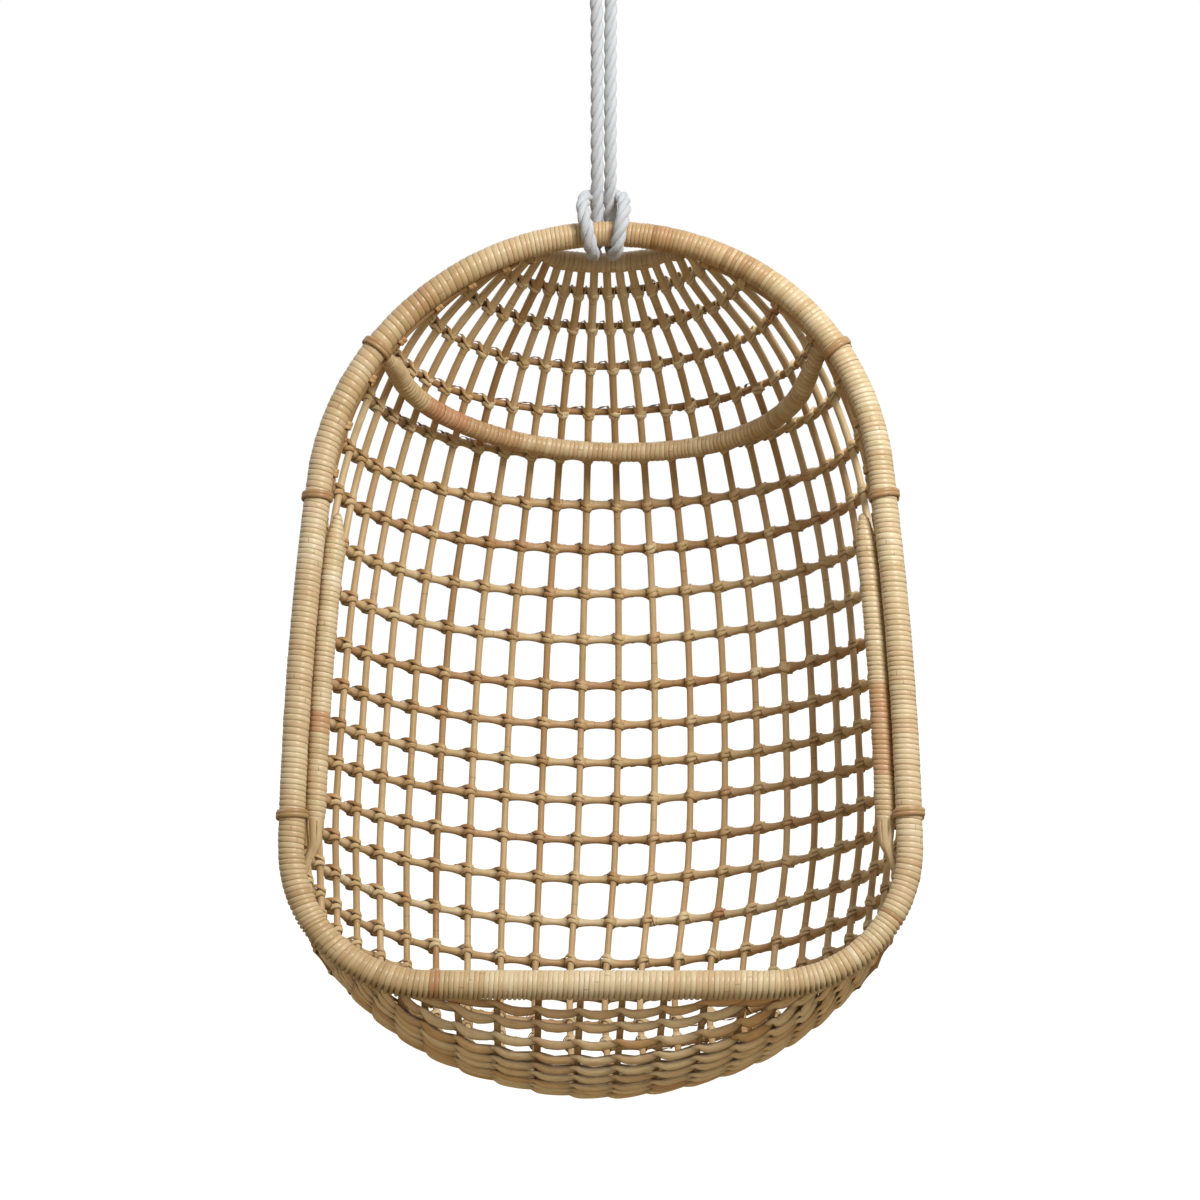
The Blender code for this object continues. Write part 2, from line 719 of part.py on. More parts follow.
def build_seat_weave(body):
    """The close-twined part of the seat, as one sheet under the warps."""
    stations = np.linspace(SEAT_WEAVE_FROM, SEAT_WEAVE_TO, SEAT_STATIONS)
    shares = np.linspace(-1, 1, SEAT_WEAVE_COLUMNS + 1)
    columns = len(shares)
    vertices = []
    for distance in (SEAT_WEAVE_GAP, SEAT_WEAVE_GAP + SEAT_WEAVE_THICKNESS):
        for along in stations:
            reach = half_length(along) - SEAT_WEAVE_EDGE
            vertices += [offset_place(along, share * reach, distance) for share in shares]
    layer = len(stations) * columns
    faces = []
    for i in range(len(stations) - 1):
        for j in range(columns - 1):
            a = i * columns + j
            faces.append((a, a + columns, a + columns + 1, a + 1))
            faces.append((layer + a, layer + a + 1, layer + a + columns + 1, layer + a + columns))
    for j in range(columns - 1):
        last = layer - columns + j
        faces.append((j, j + 1, layer + j + 1, layer + j))
        faces.append((last, layer + last, layer + last + 1, last + 1))
    for i in range(len(stations) - 1):
        left, right = i * columns, (i + 1) * columns - 1
        faces.append((left, layer + left, layer + left + columns, left + columns))
        faces.append((right, right + columns, layer + right + columns, layer + right))
    add_mesh("seat_weave", body, vertices, faces, "twined_cane")


def main():
    clear_scene()
    fixed = add_axis("ceiling", (0, 0, 0))
    swivel = add_axis("swivel_axis", (0, 0, 0), fixed)
    hook = add_axis("hook_axis", (0, 0, PIN_Z), swivel)
    rope = add_axis("saddle_axis", (0, 0, SADDLE_Z), hook)
    basket = add_axis("hitch_axis", (0, 0, APEX_Z), rope)
    build_ceiling_plate(fixed)
    build_swivel_fork(swivel)
    build_hook_pin(swivel)
    build_hook(hook)
    build_rope(rope)
    build_whipping(rope)
    build_front_rim(basket)
    build_top_bar(basket)
    build_back_hoop(basket)
    build_side_poles(basket)
    build_ring_bindings(basket)
    build_warps(basket)
    build_wefts(basket)
    build_seat_weave(basket)


main()
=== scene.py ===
# %% [markdown]
# # A hanging egg chair, seen and finished
# The chair is a basket of round rattan cane, tied to a bent pole that is wound all over with flat
# cane. A doubled rope holds it under a swivel hook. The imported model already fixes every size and
# joint, so this script reads where each rod lies and dresses it: bands on the poles, a knot on each
# crossing, twined rows under the seat, and three laid strands in the rope.

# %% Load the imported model
import json
import math

import bmesh
import bpy
import numpy as np
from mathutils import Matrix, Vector


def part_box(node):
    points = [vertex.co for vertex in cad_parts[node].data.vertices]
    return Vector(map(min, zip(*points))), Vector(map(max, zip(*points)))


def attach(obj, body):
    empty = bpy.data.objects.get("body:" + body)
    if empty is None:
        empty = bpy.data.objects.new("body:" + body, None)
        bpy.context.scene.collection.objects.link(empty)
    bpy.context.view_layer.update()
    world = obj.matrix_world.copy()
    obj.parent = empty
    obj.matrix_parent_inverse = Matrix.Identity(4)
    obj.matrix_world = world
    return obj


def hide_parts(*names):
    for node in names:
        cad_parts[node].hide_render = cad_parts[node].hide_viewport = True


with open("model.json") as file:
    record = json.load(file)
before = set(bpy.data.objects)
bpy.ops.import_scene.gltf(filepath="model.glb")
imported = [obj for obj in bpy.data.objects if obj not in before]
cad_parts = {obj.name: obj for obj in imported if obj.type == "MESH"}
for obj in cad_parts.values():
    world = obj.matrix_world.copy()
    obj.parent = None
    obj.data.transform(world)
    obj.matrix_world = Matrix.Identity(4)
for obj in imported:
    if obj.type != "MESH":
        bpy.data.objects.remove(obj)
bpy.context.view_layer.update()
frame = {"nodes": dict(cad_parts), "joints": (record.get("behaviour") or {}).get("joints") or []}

MM = 0.001
joint_at = {joint["name"]: np.array(joint.get("pos_m", (0, 0, 0))) for joint in frame["joints"]}

# %% [markdown]
# ## Camera
# The chair is seen from straight ahead and from a few metres off, level with the middle of the
# basket. A long lens keeps the rim's near bar and its far crown close in scale, as the eye sees
# them from across a room.

# %% Camera
CAMERA_DISTANCE = 3.6
CAMERA_BELOW_RIM = 0.4508
CAMERA_SIDE = -0.0046
LENS_MM, SENSOR_MM = 87.7, 36


def put(name, data):
    """Puts an object with this camera, mesh or lamp into the scene."""
    thing = bpy.data.objects.new(name, data)
    bpy.context.scene.collection.objects.link(thing)
    return thing


rim_top = joint_at["basket_tilt"][2]
camera = put("camera", bpy.data.cameras.new("camera"))
camera.data.lens = LENS_MM
camera.data.sensor_width = SENSOR_MM
camera.location = (CAMERA_SIDE, -CAMERA_DISTANCE, rim_top - CAMERA_BELOW_RIM)
camera.rotation_euler = (math.pi / 2, 0, 0)
bpy.context.scene.camera = camera
print("camera at", tuple(round(value, 3) for value in camera.location))

# %% [markdown]
# ## Reading a rod's centreline
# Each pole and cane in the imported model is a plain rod: rings of corners joined by long faces. The
# short edges of its mesh all lie in the rings, so corners that short edges join make one ring. The
# rings' centres, walked from neighbour to neighbour, give back the line that the rod follows.

# %% Rings of a packed rod


def corners_and_edges(node):
    """A node's mesh corners, doubles merged, and the pairs of them that an edge joins."""
    mesh = frame["nodes"][node].data
    places = np.empty(len(mesh.vertices) * 3)
    mesh.vertices.foreach_get("co", places)
    places, index = np.unique(places.reshape(-1, 3).round(6), axis=0, return_inverse=True)
    edges = np.empty(len(mesh.edges) * 2, int)
    mesh.edges.foreach_get("vertices", edges)
    return places, index.reshape(-1)[edges].reshape(-1, 2)


def rings(node, ring_edge):
    """Centres and radii of a rod's rings, in order from its higher end."""
    places, edges = corners_and_edges(node)
    lengths = np.linalg.norm(places[edges[:, 0]] - places[edges[:, 1]], axis=1)
    label = np.arange(len(places))
    changed = True
    while changed:
        before = label.copy()
        for a, b in edges[lengths < ring_edge]:
            label[a] = label[b] = min(label[a], label[b])
        changed = bool((label != before).any())
    names, label = np.unique(label, return_inverse=True)
    centres = np.array([places[label == i].mean(axis=0) for i in range(len(names))])
    radii = np.array([np.linalg.norm(places[label == i] - centres[i], axis=1).mean()
                      for i in range(len(names))])
    beside = [set() for _ in names]
    for a, b in edges:
        if label[a] != label[b]:
            beside[label[a]].add(label[b])
            beside[label[b]].add(label[a])
    ends = [i for i in range(len(names)) if len(beside[i]) == 1] or range(len(names))
    order = [max(ends, key=lambda i: centres[i][2])]
    while True:
        ahead = [i for i in beside[order[-1]] if i not in order]
        if not ahead:
            return centres[order], radii[order]
        order.append(max(ahead, key=lambda i: centres[i][0]) if len(order) == 1 else ahead[0])


# An edge shorter than this lies in a ring.
CANE_RING_EDGE = 6.3 * MM
POLE_RING_EDGE = 8.6 * MM
RIM_RING_EDGE = 9.8 * MM
warps, wefts = ({name: rings(name, CANE_RING_EDGE)[0] for name in frame["nodes"] if name.startswith(kind)}
                for kind in ("warp", "weft"))
rim_rings, rim_radii = rings("front_rim", RIM_RING_EDGE)
print("warps:", len(warps), "wefts:", len(wefts), "rings round the rim:", len(rim_rings))
for name in list(warps)[:3] + list(wefts)[:3]:
    line = warps.get(name, wefts.get(name))
    print(" ", name, len(line), line[0].round(3), line[-1].round(3))

# %% [markdown]
# ## Smooth lines and the rods swept along them
# Cane bends in even curves, so each line of ring centres is run through a Catmull-Rom spline and
# resampled at even steps. A rod is then a grid of corners: one row for each step along the line,
# one column for each point of its section. Every strand of the chair is such a grid, and grids of
# one finish are joined into one mesh, which keeps the scene quick. Each corner also carries where
# it lies in its own strand, so that the grain in the material runs along the fibre.

# %% Lines
STEPS_PER_SPAN = 10


def unit(vectors):
    return vectors / np.maximum(np.linalg.norm(vectors, axis=-1, keepdims=True), 1e-12)


def length_along(line):
    return np.r_[0, np.cumsum(np.linalg.norm(np.diff(line[:, :3], axis=0), axis=1))]


def read_off(values, knots, at):
    """Each column of values, which are known at the knots, read off at other places."""
    return np.stack([np.interp(at, knots, column) for column in values.T], axis=-1)


def run_on(points):
    """The points with one more at either end, straight on."""
    return np.vstack([2 * points[:1] - points[1:2], points, 2 * points[-1:] - points[-2:-1]])


def spline(a, b, c, d, t):
    """The Catmull-Rom curve from b to c, with a before them and d after, at shares t of the way."""
    return 0.5 * (2 * b + (c - a) * t + (2 * a - 5 * b + 4 * c - d) * t**2
                  + (3 * b - a - 3 * c + d) * t**3)


def smooth(points, step, closed=False):
    """An even curve through the points. Columns after the third are carried along with it."""
    points = np.asarray(points, float)
    around = np.vstack([points[-1:], points, points[:2]]) if closed else run_on(points)
    t = np.linspace(0, 1, STEPS_PER_SPAN, endpoint=False)[:, None]
    spans = [spline(*four, t) for four in zip(around[:-3], around[1:-2], around[2:-1], around[3:])]
    fine = np.vstack(spans + [points[:1] if closed else points[-1:]])
    lengths = length_along(fine)
    even = np.linspace(0, lengths[-1], max(2, round(lengths[-1] / step)) + 1)
    return read_off(fine, lengths, even)


# %% Directions and small differences
rng = np.random.default_rng(4)


def wavering(count, spread, every):
    """Smooth noise of zero mean, with a new value for every so many steps."""
    knots = rng.normal(0, spread, max(2, int(count / every) + 2))
    return np.interp(np.arange(count) / every, np.arange(len(knots)), knots)


def graded(table, at):
    """A value from a table of (place, value), in straight lines between its rows."""
    return np.interp(at, *zip(*table))


def frames_along(line, up=None):
    """The direction, the side and the top of a line at each of its points."""
    ahead = unit(np.gradient(line, axis=0))
    if up is None:
        # No line starts along this slanting direction, so it can say where the first top is.
        slanting = (0.13, -1, 0.31)
        top = [unit(np.cross(np.cross(ahead[0], slanting), ahead[0]))]
        for step in ahead[1:]:
            top.append(unit(top[-1] - step * (top[-1] @ step)))
        top = np.array(top)
    else:
        top = np.broadcast_to(up, line.shape)
        top = unit(top - ahead * (top * ahead).sum(1, keepdims=True))
    return ahead, np.cross(ahead, top), top


# %% Strands
# A strand's ends are closed by two more rings each: how far out they lie, and how small they are, as
# shares of its half width.
CAP_REACH = (0.4, 0.3)
CAP_SIZES = (0.04, 0.7)


class Bundle:
    """Strands of one finish, gathered into one mesh."""

    def __init__(self):
        self.places, self.quads, self.fibre, self.look, self.count = [], [], [], [], 0

    def grid(self, places, fibre, look, round_section):
        """Adds a grid of rows × columns of places, closed round its columns for a round section."""
        rows, columns = places.shape[:2]
        index = self.count + np.arange(rows * columns).reshape(rows, columns)
        if round_section:
            index = np.hstack([index, index[:, :1]])
        quads = np.stack([index[:-1, :-1], index[:-1, 1:], index[1:, 1:], index[1:, :-1]], axis=2)
        self.places.append(places.reshape(-1, 3))
        self.quads.append(quads.reshape(-1, 4))
        self.fibre.append(np.broadcast_to(fibre, places.shape).reshape(-1, 3))
        self.look.append(np.broadcast_to(look, places.shape).reshape(-1, 3))
        self.count += rows * columns

    def strand(self, line, section, up=None, size=1.0, tone=0.5, blush=0.0, painted_shade=0.0, edge=0.0):
        """Sweeps a section of (side, top) points along the line. size scales it at each point, and
        edge says how much darker its first side is painted, as painted shade along that side."""
        count = len(line)
        ahead, side, top = frames_along(line, up)
        along = length_along(line)
        size = np.broadcast_to(size, count).astype(float)
        look = np.stack([np.broadcast_to(value, count) for value in (tone, blush, painted_shade)], axis=1)
        reach = np.abs(section).max() * size[[0, -1]]
        line = np.vstack([*(line[0] - share * reach[0] * ahead[0] for share in CAP_REACH), line,
                          *(line[-1] + share * reach[1] * ahead[-1] for share in CAP_REACH[::-1])])
        pad = np.r_[0, 0, np.arange(count), count - 1, count - 1]
        side, top, along, look, size = side[pad], top[pad], along[pad], look[pad], size[pad]
        size[[0, -1]] *= CAP_SIZES[0]
        size[[1, -2]] *= CAP_SIZES[1]
        across = section * size[:, None, None]
        places = line[:, None] + across[..., :1] * side[:, None] + across[..., 1:] * top[:, None]
        fibre = np.concatenate([np.broadcast_to(along[:, None, None], across.shape[:2] + (1,)), across], 2)
        # One side of the section is painted darker by edge: painted shade along that side.
        painted_side_shade = np.clip(section[:, 0] / np.abs(section[:, 0]).max(), 0, 1) ** 2
        look = look[:, None] + edge * painted_side_shade[None, :, None] * (0, 0, 1)
        self.grid(places, fibre + rng.uniform(0, 9, 3), look, True)

    def make(self, name, material, body, slot, replaced=()):
        """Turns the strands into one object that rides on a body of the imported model."""
        places, quads = np.concatenate(self.places), np.concatenate(self.quads)
        mesh = bpy.data.meshes.new(name)
        mesh.vertices.add(len(places))
        mesh.vertices.foreach_set("co", places.astype(np.float32).ravel())
        mesh.loops.add(quads.size)
        mesh.loops.foreach_set("vertex_index", quads.astype(np.int32).ravel())
        mesh.polygons.add(len(quads))
        mesh.polygons.foreach_set("loop_start", np.arange(0, quads.size, 4, dtype=np.int32))
        mesh.polygons.foreach_set("use_smooth", np.ones(len(quads), bool))
        for label, values in (("fibre", self.fibre), ("look", self.look)):
            layer = mesh.attributes.new(label, "FLOAT_VECTOR", "POINT")
            layer.data.foreach_set("vector", np.concatenate(values).astype(np.float32).ravel())
        mesh.update(calc_edges=True)
        mesh.materials.append(material)
        piece = put(name, mesh)
        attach(piece, body)
        if replaced:
            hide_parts(*replaced)
        print(f"{name}: {len(quads)} faces")
        return piece


def oval(width, height, sides, turned=0.0):
    """A flattened round section."""
    turn = 2 * math.pi * (np.arange(sides) + turned) / sides
    return np.stack([width / 2 * np.cos(turn), height / 2 * np.sin(turn)], axis=1)


# %% [markdown]
# ## Materials
# Rattan is a climbing palm. Its outer skin, split into flat strips, is straw-coloured, hard and
# shiny with silica; that is what winds the poles. The round canes keep their skin but are thinner
# and browner. Long pale and dark fibres run along both, with a darker ring at each joint of the
# stem. The pattern is drawn in each strand's own lengths, so its grain follows every bend.

# %% Nodes and colours


def linear(hex_colour):
    """Scene-linear colour of an sRGB hex value."""
    parts = [int(hex_colour[i:i + 2], 16) / 255 for i in (1, 3, 5)]
    return [p / 12.92 if p <= 0.04045 else ((p + 0.055) / 1.055) ** 2.4 for p in parts] + [1.0]


def add(tree, kind, inputs=(), **settings):
    """Adds a node with its settings. Each input is a value or the socket that feeds it."""
    node = tree.nodes.new("ShaderNode" + kind)
    for name, value in settings.items():
        setattr(node, name, value)
    for name, value in dict(inputs).items():
        if isinstance(value, bpy.types.NodeSocket):
            tree.links.new(value, node.inputs[name])
        else:
            node.inputs[name].default_value = value
    return node


def new_material(name):
    material = bpy.data.materials.new(name)
    material.use_nodes = True
    material.node_tree.nodes.clear()
    return material, material.node_tree


def shades(tree, factor, colours):
    """A colour ramp over evenly spaced sRGB hex colours."""
    ramp = add(tree, "ValToRGB", {"Fac": factor})
    stops = ramp.color_ramp.elements
    while len(stops) < len(colours):
        stops.new(0.5)
    for i, colour in enumerate(colours):
        stops[i].position = i / (len(colours) - 1)
        stops[i].color = linear(colour)
    return ramp.outputs["Color"]


# %% Rattan
FIBRE_WIDTH, FIBRE_LENGTH, FIBRE_DEPTH = 0.8 * MM, 40 * MM, 0.25 * MM
MOTTLE_WIDTH, MOTTLE_LENGTH = 5 * MM, 28 * MM
JOINT_SPACING, JOINT_RING = 210 * MM, 1.6 * MM
# The dark brown of the joints and fibres, also used for the painted shade.
STEM_GREEN, DARK_BROWN_OF_MARKS_AND_SHADE = "#A8985C", "#3A2412"
LACQUER_IOR, COAT_ROUGHNESS = 1.5, 0.22
RANGE = ("Value", "From Min", "From Max", "To Min", "To Max")


def rattan(name, colours, blush, roughness, gloss, coat, grain, scars=0.55):
    """Rattan cane: colours run from its darkest to its palest strand, blush is its red-brown one."""
    material, tree = new_material(name)
    fibre = add(tree, "Attribute", attribute_name="fibre").outputs["Vector"]
    look = add(tree, "SeparateXYZ", {0: add(tree, "Attribute", attribute_name="look").outputs["Vector"]})
    tone, blushed, painted_shade = look.outputs
    noises = []
    for length, width, detail in ((FIBRE_LENGTH, FIBRE_WIDTH, 3.0), (MOTTLE_LENGTH, MOTTLE_WIDTH, 2.0)):
        drawn_out = add(tree, "VectorMath", {0: fibre, 1: (1 / length, 1 / width, 1 / width)},
                        operation="MULTIPLY").outputs[0]
        noises.append(add(tree, "TexNoise", {"Scale": 1.0, "Detail": detail, "Vector": drawn_out}).outputs[0])
    threads, mottle = noises
    # The strand's own tone, made lighter and darker by both patterns.
    level = tone
    for pattern in (threads, mottle):
        level = add(tree, "Math", {0: pattern, 1: grain, 2: level}, operation="MULTIPLY_ADD").outputs[0]
    level = add(tree, "Math", {0: level, 1: grain}, operation="SUBTRACT").outputs[0]
    # Green and red-brown cloud the skin; joints and dark fibres darken it, and so does the painted shade that
    # each strand carries.
    green = add(tree, "MapRange", zip(RANGE, (mottle, 0.48, 0.28, 0.0, 0.35))).outputs[0]
    warm = add(tree, "MapRange", zip(RANGE, (mottle, 0.5, 0.75, 0.0, 0.4))).outputs[0]
    warm = add(tree, "Math", {0: blushed, 1: warm}, operation="ADD", use_clamp=True).outputs[0]
    along = add(tree, "SeparateXYZ", {0: fibre}).outputs[0]
    place = add(tree, "Math", {0: along, 1: JOINT_SPACING}, operation="FLOORED_MODULO").outputs[0]
    dark = add(tree, "MapRange", zip(RANGE, (place, 0.0, JOINT_RING, scars, 0.0))).outputs[0]
    fleck = add(tree, "MapRange", zip(RANGE, (threads, 0.7, 0.8, 0.0, 0.35))).outputs[0]
    for other in (fleck, painted_shade):
        dark = add(tree, "Math", {0: dark, 1: other}, operation="MAXIMUM").outputs[0]
    skin = shades(tree, level, colours)
    for share, colour in ((green, STEM_GREEN), (warm, blush), (dark, DARK_BROWN_OF_MARKS_AND_SHADE)):
        skin = add(tree, "Mix", {"Factor": share, "A": skin, "B": linear(colour)},
                   data_type="RGBA").outputs["Result"]
    rough = add(tree, "MapRange", zip(RANGE, (threads, 0.3, 0.7, roughness - 0.07, roughness + 0.09)))
    bump = add(tree, "Bump", {"Height": threads, "Distance": FIBRE_DEPTH, "Strength": 0.6})
    shader = add(tree, "BsdfPrincipled", {
        "Base Color": skin, "Roughness": rough.outputs[0], "IOR": LACQUER_IOR, "Specular IOR Level": gloss,
        "Coat Weight": coat, "Coat Roughness": COAT_ROUGHNESS, "Normal": bump.outputs[0]})
    add(tree, "OutputMaterial", {"Surface": shader.outputs[0]})
    return material


# %% The four kinds of strip and cane
# Split rattan skin, polished: straw to cream, with a hard narrow shine along each turn.
rattan_peel = rattan("split_rattan_peel_lacquered", (
    "#6A4A28", "#A07C50", "#C9AD80", "#DDC9A2", "#EFE1C4"), "#BC7C56", 0.36, 0.32, 0.08, 0.18)
# Round rattan with its skin on: tan to brown, a softer shine.
rattan_cane = rattan("round_rattan_cane_lacquered", (
    "#52381E", "#8C683E", "#BA9465", "#D6B98A", "#E9D5AE"), "#AC7850", 0.42, 0.28, 0.04, 0.22)
# Split rattan core used for ties and twining: dull, warm, more uneven.
rattan_binder = rattan("split_rattan_binding_lacquered", (
    "#54381C", "#8E693E", "#BD9563", "#D9BB88", "#EAD5A8"), "#B47850", 0.45, 0.24, 0.02, 0.24, 0.25)
# The seat's twining strands keep more of the warm inner wood: tan to honey.
rattan_twining = rattan("split_rattan_core_twined", (
    "#53341A", "#9C703F", "#CFA067", "#EFC48C", "#FFE4B6"), "#C48552", 0.42, 0.28, 0.03, 0.3, 0.0)
print("materials:", rattan_peel.name, rattan_cane.name, rattan_binder.name, rattan_twining.name)

# %% [markdown]
# ## The rope
# A cotton rope is three strands laid round each other, each of them many soft yarns. The chair
# hangs in its bight: the rope goes over the hook, down both sides, round the rim in a cow hitch, and
# its ends meet under a whipping of thin twine. Each strand is modelled as a rod on a helix about the
# route, which gives the real valleys between strands, and the finer yarns are left to the material.

# %% Rope route
STRAND_RADIUS = 4.15 * MM
STRAND_FROM_MIDDLE = 3.95 * MM
LAY_LENGTH = 56.7 * MM
ROPE_FRONT = [
    (0.0132, 0, -0.1326), (0.012, 0, -0.1516), (0.00885, 0, -0.1866), (0.00825, 0, -0.2366),
    (0.00825, 0, -0.2966), (0.00825, 0.001, -0.3566), (0.00825, 0.006, -0.3966),
    (0.00825, 0.015, -0.4246), (0.00825, 0.0225, -0.4486), (0.00875, 0.025, -0.4686),
    (0.01025, 0.018, -0.4841), (0.01275, 0, -0.4921), (0.01625, -0.019, -0.4841),
    (0.01975, -0.026, -0.4666), (0.02325, -0.0245, -0.4506), (0.02525, -0.0125, -0.4336),
    (0.02175, 0.01, -0.4201), (0.01075, 0.0315, -0.4171)]
ROPE_TOP = [(-0.0142, 0, -0.1126), (-0.010224, 0, -0.096376), (0, 0, -0.0924),
            (0.010224, 0, -0.096376), (0.0142, 0, -0.1126), (0.0133, 0, -0.1323)]
rope_points = ROPE_FRONT + [(0, 0.0335, -0.4171)] + [
    (-x, y, z) for x, y, z in ROPE_FRONT[:0:-1]] + ROPE_TOP
ROPE_STEP = 3 * MM
rope_line = smooth(rope_points, ROPE_STEP)

# %% Cotton
# Real yarns are finer: these are as coarse as they need to be to show.
YARNS, YARN_LAY, YARN_DEPTH = 11, 38 * MM, 0.5 * MM
LINT_SIZE = 1.6 * MM


def cotton(name, colours):
    """Laid cotton yarn: soft, matt, with fine slanting furrows between its yarns."""
    material, tree = new_material(name)
    fibre = add(tree, "SeparateXYZ", {0: add(tree, "Attribute", attribute_name="fibre").outputs["Vector"]})
    look = add(tree, "SeparateXYZ", {0: add(tree, "Attribute", attribute_name="look").outputs["Vector"]})
    slant = add(tree, "Math", {0: fibre.outputs[0], 1: -2 * math.pi / YARN_LAY}, operation="MULTIPLY")
    turn = add(tree, "Math", {0: fibre.outputs[1], 1: YARNS, 2: slant.outputs[0]}, operation="MULTIPLY_ADD")
    furrow = add(tree, "Math", {0: turn.outputs[0]}, operation="SINE").outputs[0]
    lint = add(tree, "TexNoise", {"Scale": 1 / LINT_SIZE, "Detail": 4.0}).outputs[0]
    height = add(tree, "Math", {0: furrow, 1: 0.35, 2: lint}, operation="MULTIPLY_ADD").outputs[0]
    # The colour follows the height, so the furrows between yarns are painted darker: painted shade.
    tint_with_painted_shade = add(tree, "Math", {0: height, 1: 0.22, 2: look.outputs[0]}, operation="MULTIPLY_ADD").outputs[0]
    bump = add(tree, "Bump", {"Height": height, "Distance": YARN_DEPTH, "Strength": 0.7})
    shader = add(tree, "BsdfPrincipled", {
        "Base Color": shades(tree, tint_with_painted_shade, colours), "Roughness": 0.9,
        "Sheen Weight": 0.3, "Sheen Roughness": 0.5, "Normal": bump.outputs[0]})
    add(tree, "OutputMaterial", {"Surface": shader.outputs[0]})
    return material


# Bleached cotton: a cool grey-white, with a nap that softens its edges.
cotton_rope = cotton("laid_cotton_bleached", ("#8F9299", "#B4B7BC", "#D2D4D6", "#E4E5E5"))
print("material:", cotton_rope.name)

# %% The three strands


def helix_strand(bundle, line, turns_per_metre, radius, section, start, tone, full=1.0):
    """A strand that winds round a line, fuller where full is over 1. Its fibre stores its turn too."""
    side, top = frames_along(line)[1:]
    angle = 2 * math.pi * (length_along(line) * turns_per_metre + start)
    out = np.sin(angle)[:, None] * top - np.cos(angle)[:, None] * side
    full = np.broadcast_to(full, len(line))[:, None]
    path = line + radius * full * out
    side, top = frames_along(path, out)[1:]
    across = section * full[..., None]
    places = path[:, None] + across[..., :1] * side[:, None] + across[..., 1:] * top[:, None]
    turn = np.unwrap(np.arctan2(section[:, 1], section[:, 0]))
    fibre = np.stack(np.broadcast_arrays(length_along(path)[:, None], turn[None], start), axis=2)
    bundle.grid(places, fibre, (tone, 0, 0), True)


# Where it bends hard round the rim, the strands open and the rope looks fuller.
HITCH_FULLNESS = ((-0.45, 1.1), (-0.42, 1.06), (-0.41, 1.0))
ROPE_STRANDS, STRAND_TONE, TWINE_TONE = 3, 0.42, 0.25
hitch = graded(HITCH_FULLNESS, rope_line[:, 2])
rope = Bundle()
for i in range(ROPE_STRANDS):
    helix_strand(rope, rope_line, 1 / LAY_LENGTH, STRAND_FROM_MIDDLE,
                 oval(2 * STRAND_RADIUS, 2 * STRAND_RADIUS, 14, -3), i / ROPE_STRANDS, STRAND_TONE,
                 hitch * (1 + wavering(len(rope_line), 0.012, 6)))
rope = rope.make("rope_three_strand", cotton_rope, "rope", "cotton_rope", ["rope"])

# %% The whipping
TWINE = 1.9 * MM
TWINE_STEP = 0.25 * MM
low, high = (np.array(corner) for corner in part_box("rope_whipping"))
middle = (low + high) / 2
whipping_radius = (high[1] - low[1]) / 2 - TWINE / 2
near = rope_line[rope_line[:, 0] > 0]
near = near[(near[:, 2] > low[2] + TWINE) & (near[:, 2] < high[2] - TWINE)]
near = near[np.argsort(-near[:, 2])]
whipping = Bundle()
helix_strand(whipping, smooth(near, TWINE_STEP), 1 / TWINE, whipping_radius, oval(TWINE, TWINE, 6, -1), 0,
             TWINE_TONE)
whipping = whipping.make("whipping_twine_turns", cotton_rope, "rope", "whipping_twine", ["rope_whipping"])

# %% [markdown]
# ## The wound rim and poles
# The rim and the three stiffening poles are thick canes wound edge to edge with a flat strip of
# peel. A texture of stripes would keep the outline smooth, so the winding is real: the strip is one
# long ribbon on a helix, a little raised in its middle and tucked in at its edges, and its pitch
# wavers as hand winding does. Strips of another colour follow each other every few dozen turns.

# %% Winding a strip round a pole
STRIP_WIDTH = 6.4 * MM
GROOVE_DEPTH = 0.75 * MM
PARTING_DEPTH = 5 * MM
STRIP_SHARES = np.array([0.0, 0.09, 0.3, 0.62, 0.9, 1.0])
STRIP_HEIGHTS = np.array([-1.0, -0.35, -0.02, 0.0, -0.3, -1.0]) * GROOVE_DEPTH
# How far a turn's edge wavers and its face lifts, and how much its width differs, singly and in runs.
EDGE_WAVER, TURN_LIFT = 0.28 * MM, 0.16 * MM
WIDTH_SPREAD, WIDTH_DRIFT = 0.09, 0.07
# Painted shade in the grooves: how dark at most, how rare the darkest are, and how dark where turns part.
GROOVE_SHADE_MOST, GROOVE_SHADE_RARITY, PARTED_SHADE = 0.9, 1.7, 0.8
# A strip is flat, so its whole face lies at one depth of the grain's pattern.
STRIP_LAYER = 3.3
# How many turns one strip of peel lasts, and how far the tones of two strips may lie apart.
STRIP_LASTS = (14, 44)
STRIP_TONES = (-0.09, 0.09)


def strip_tones(count):
    """Tone and blush of each turn: a new strip of peel starts every few dozen turns."""
    tone, blush = np.empty(count), np.zeros(count)
    at = 0
    while at < count:
        run = int(rng.integers(*STRIP_LASTS))
        tone[at:at + run] = rng.uniform(*STRIP_TONES)
        blush[at:at + run] = max(0.0, rng.normal(0.0, 0.1))
        at += run
    return tone + wavering(count, 0.035, 3) + rng.normal(0, 0.05, count), blush


def middles(turns):
    """How far along a pole the middle of each turn lies, as a share of its length."""
    return (np.arange(turns) + 0.5) / turns


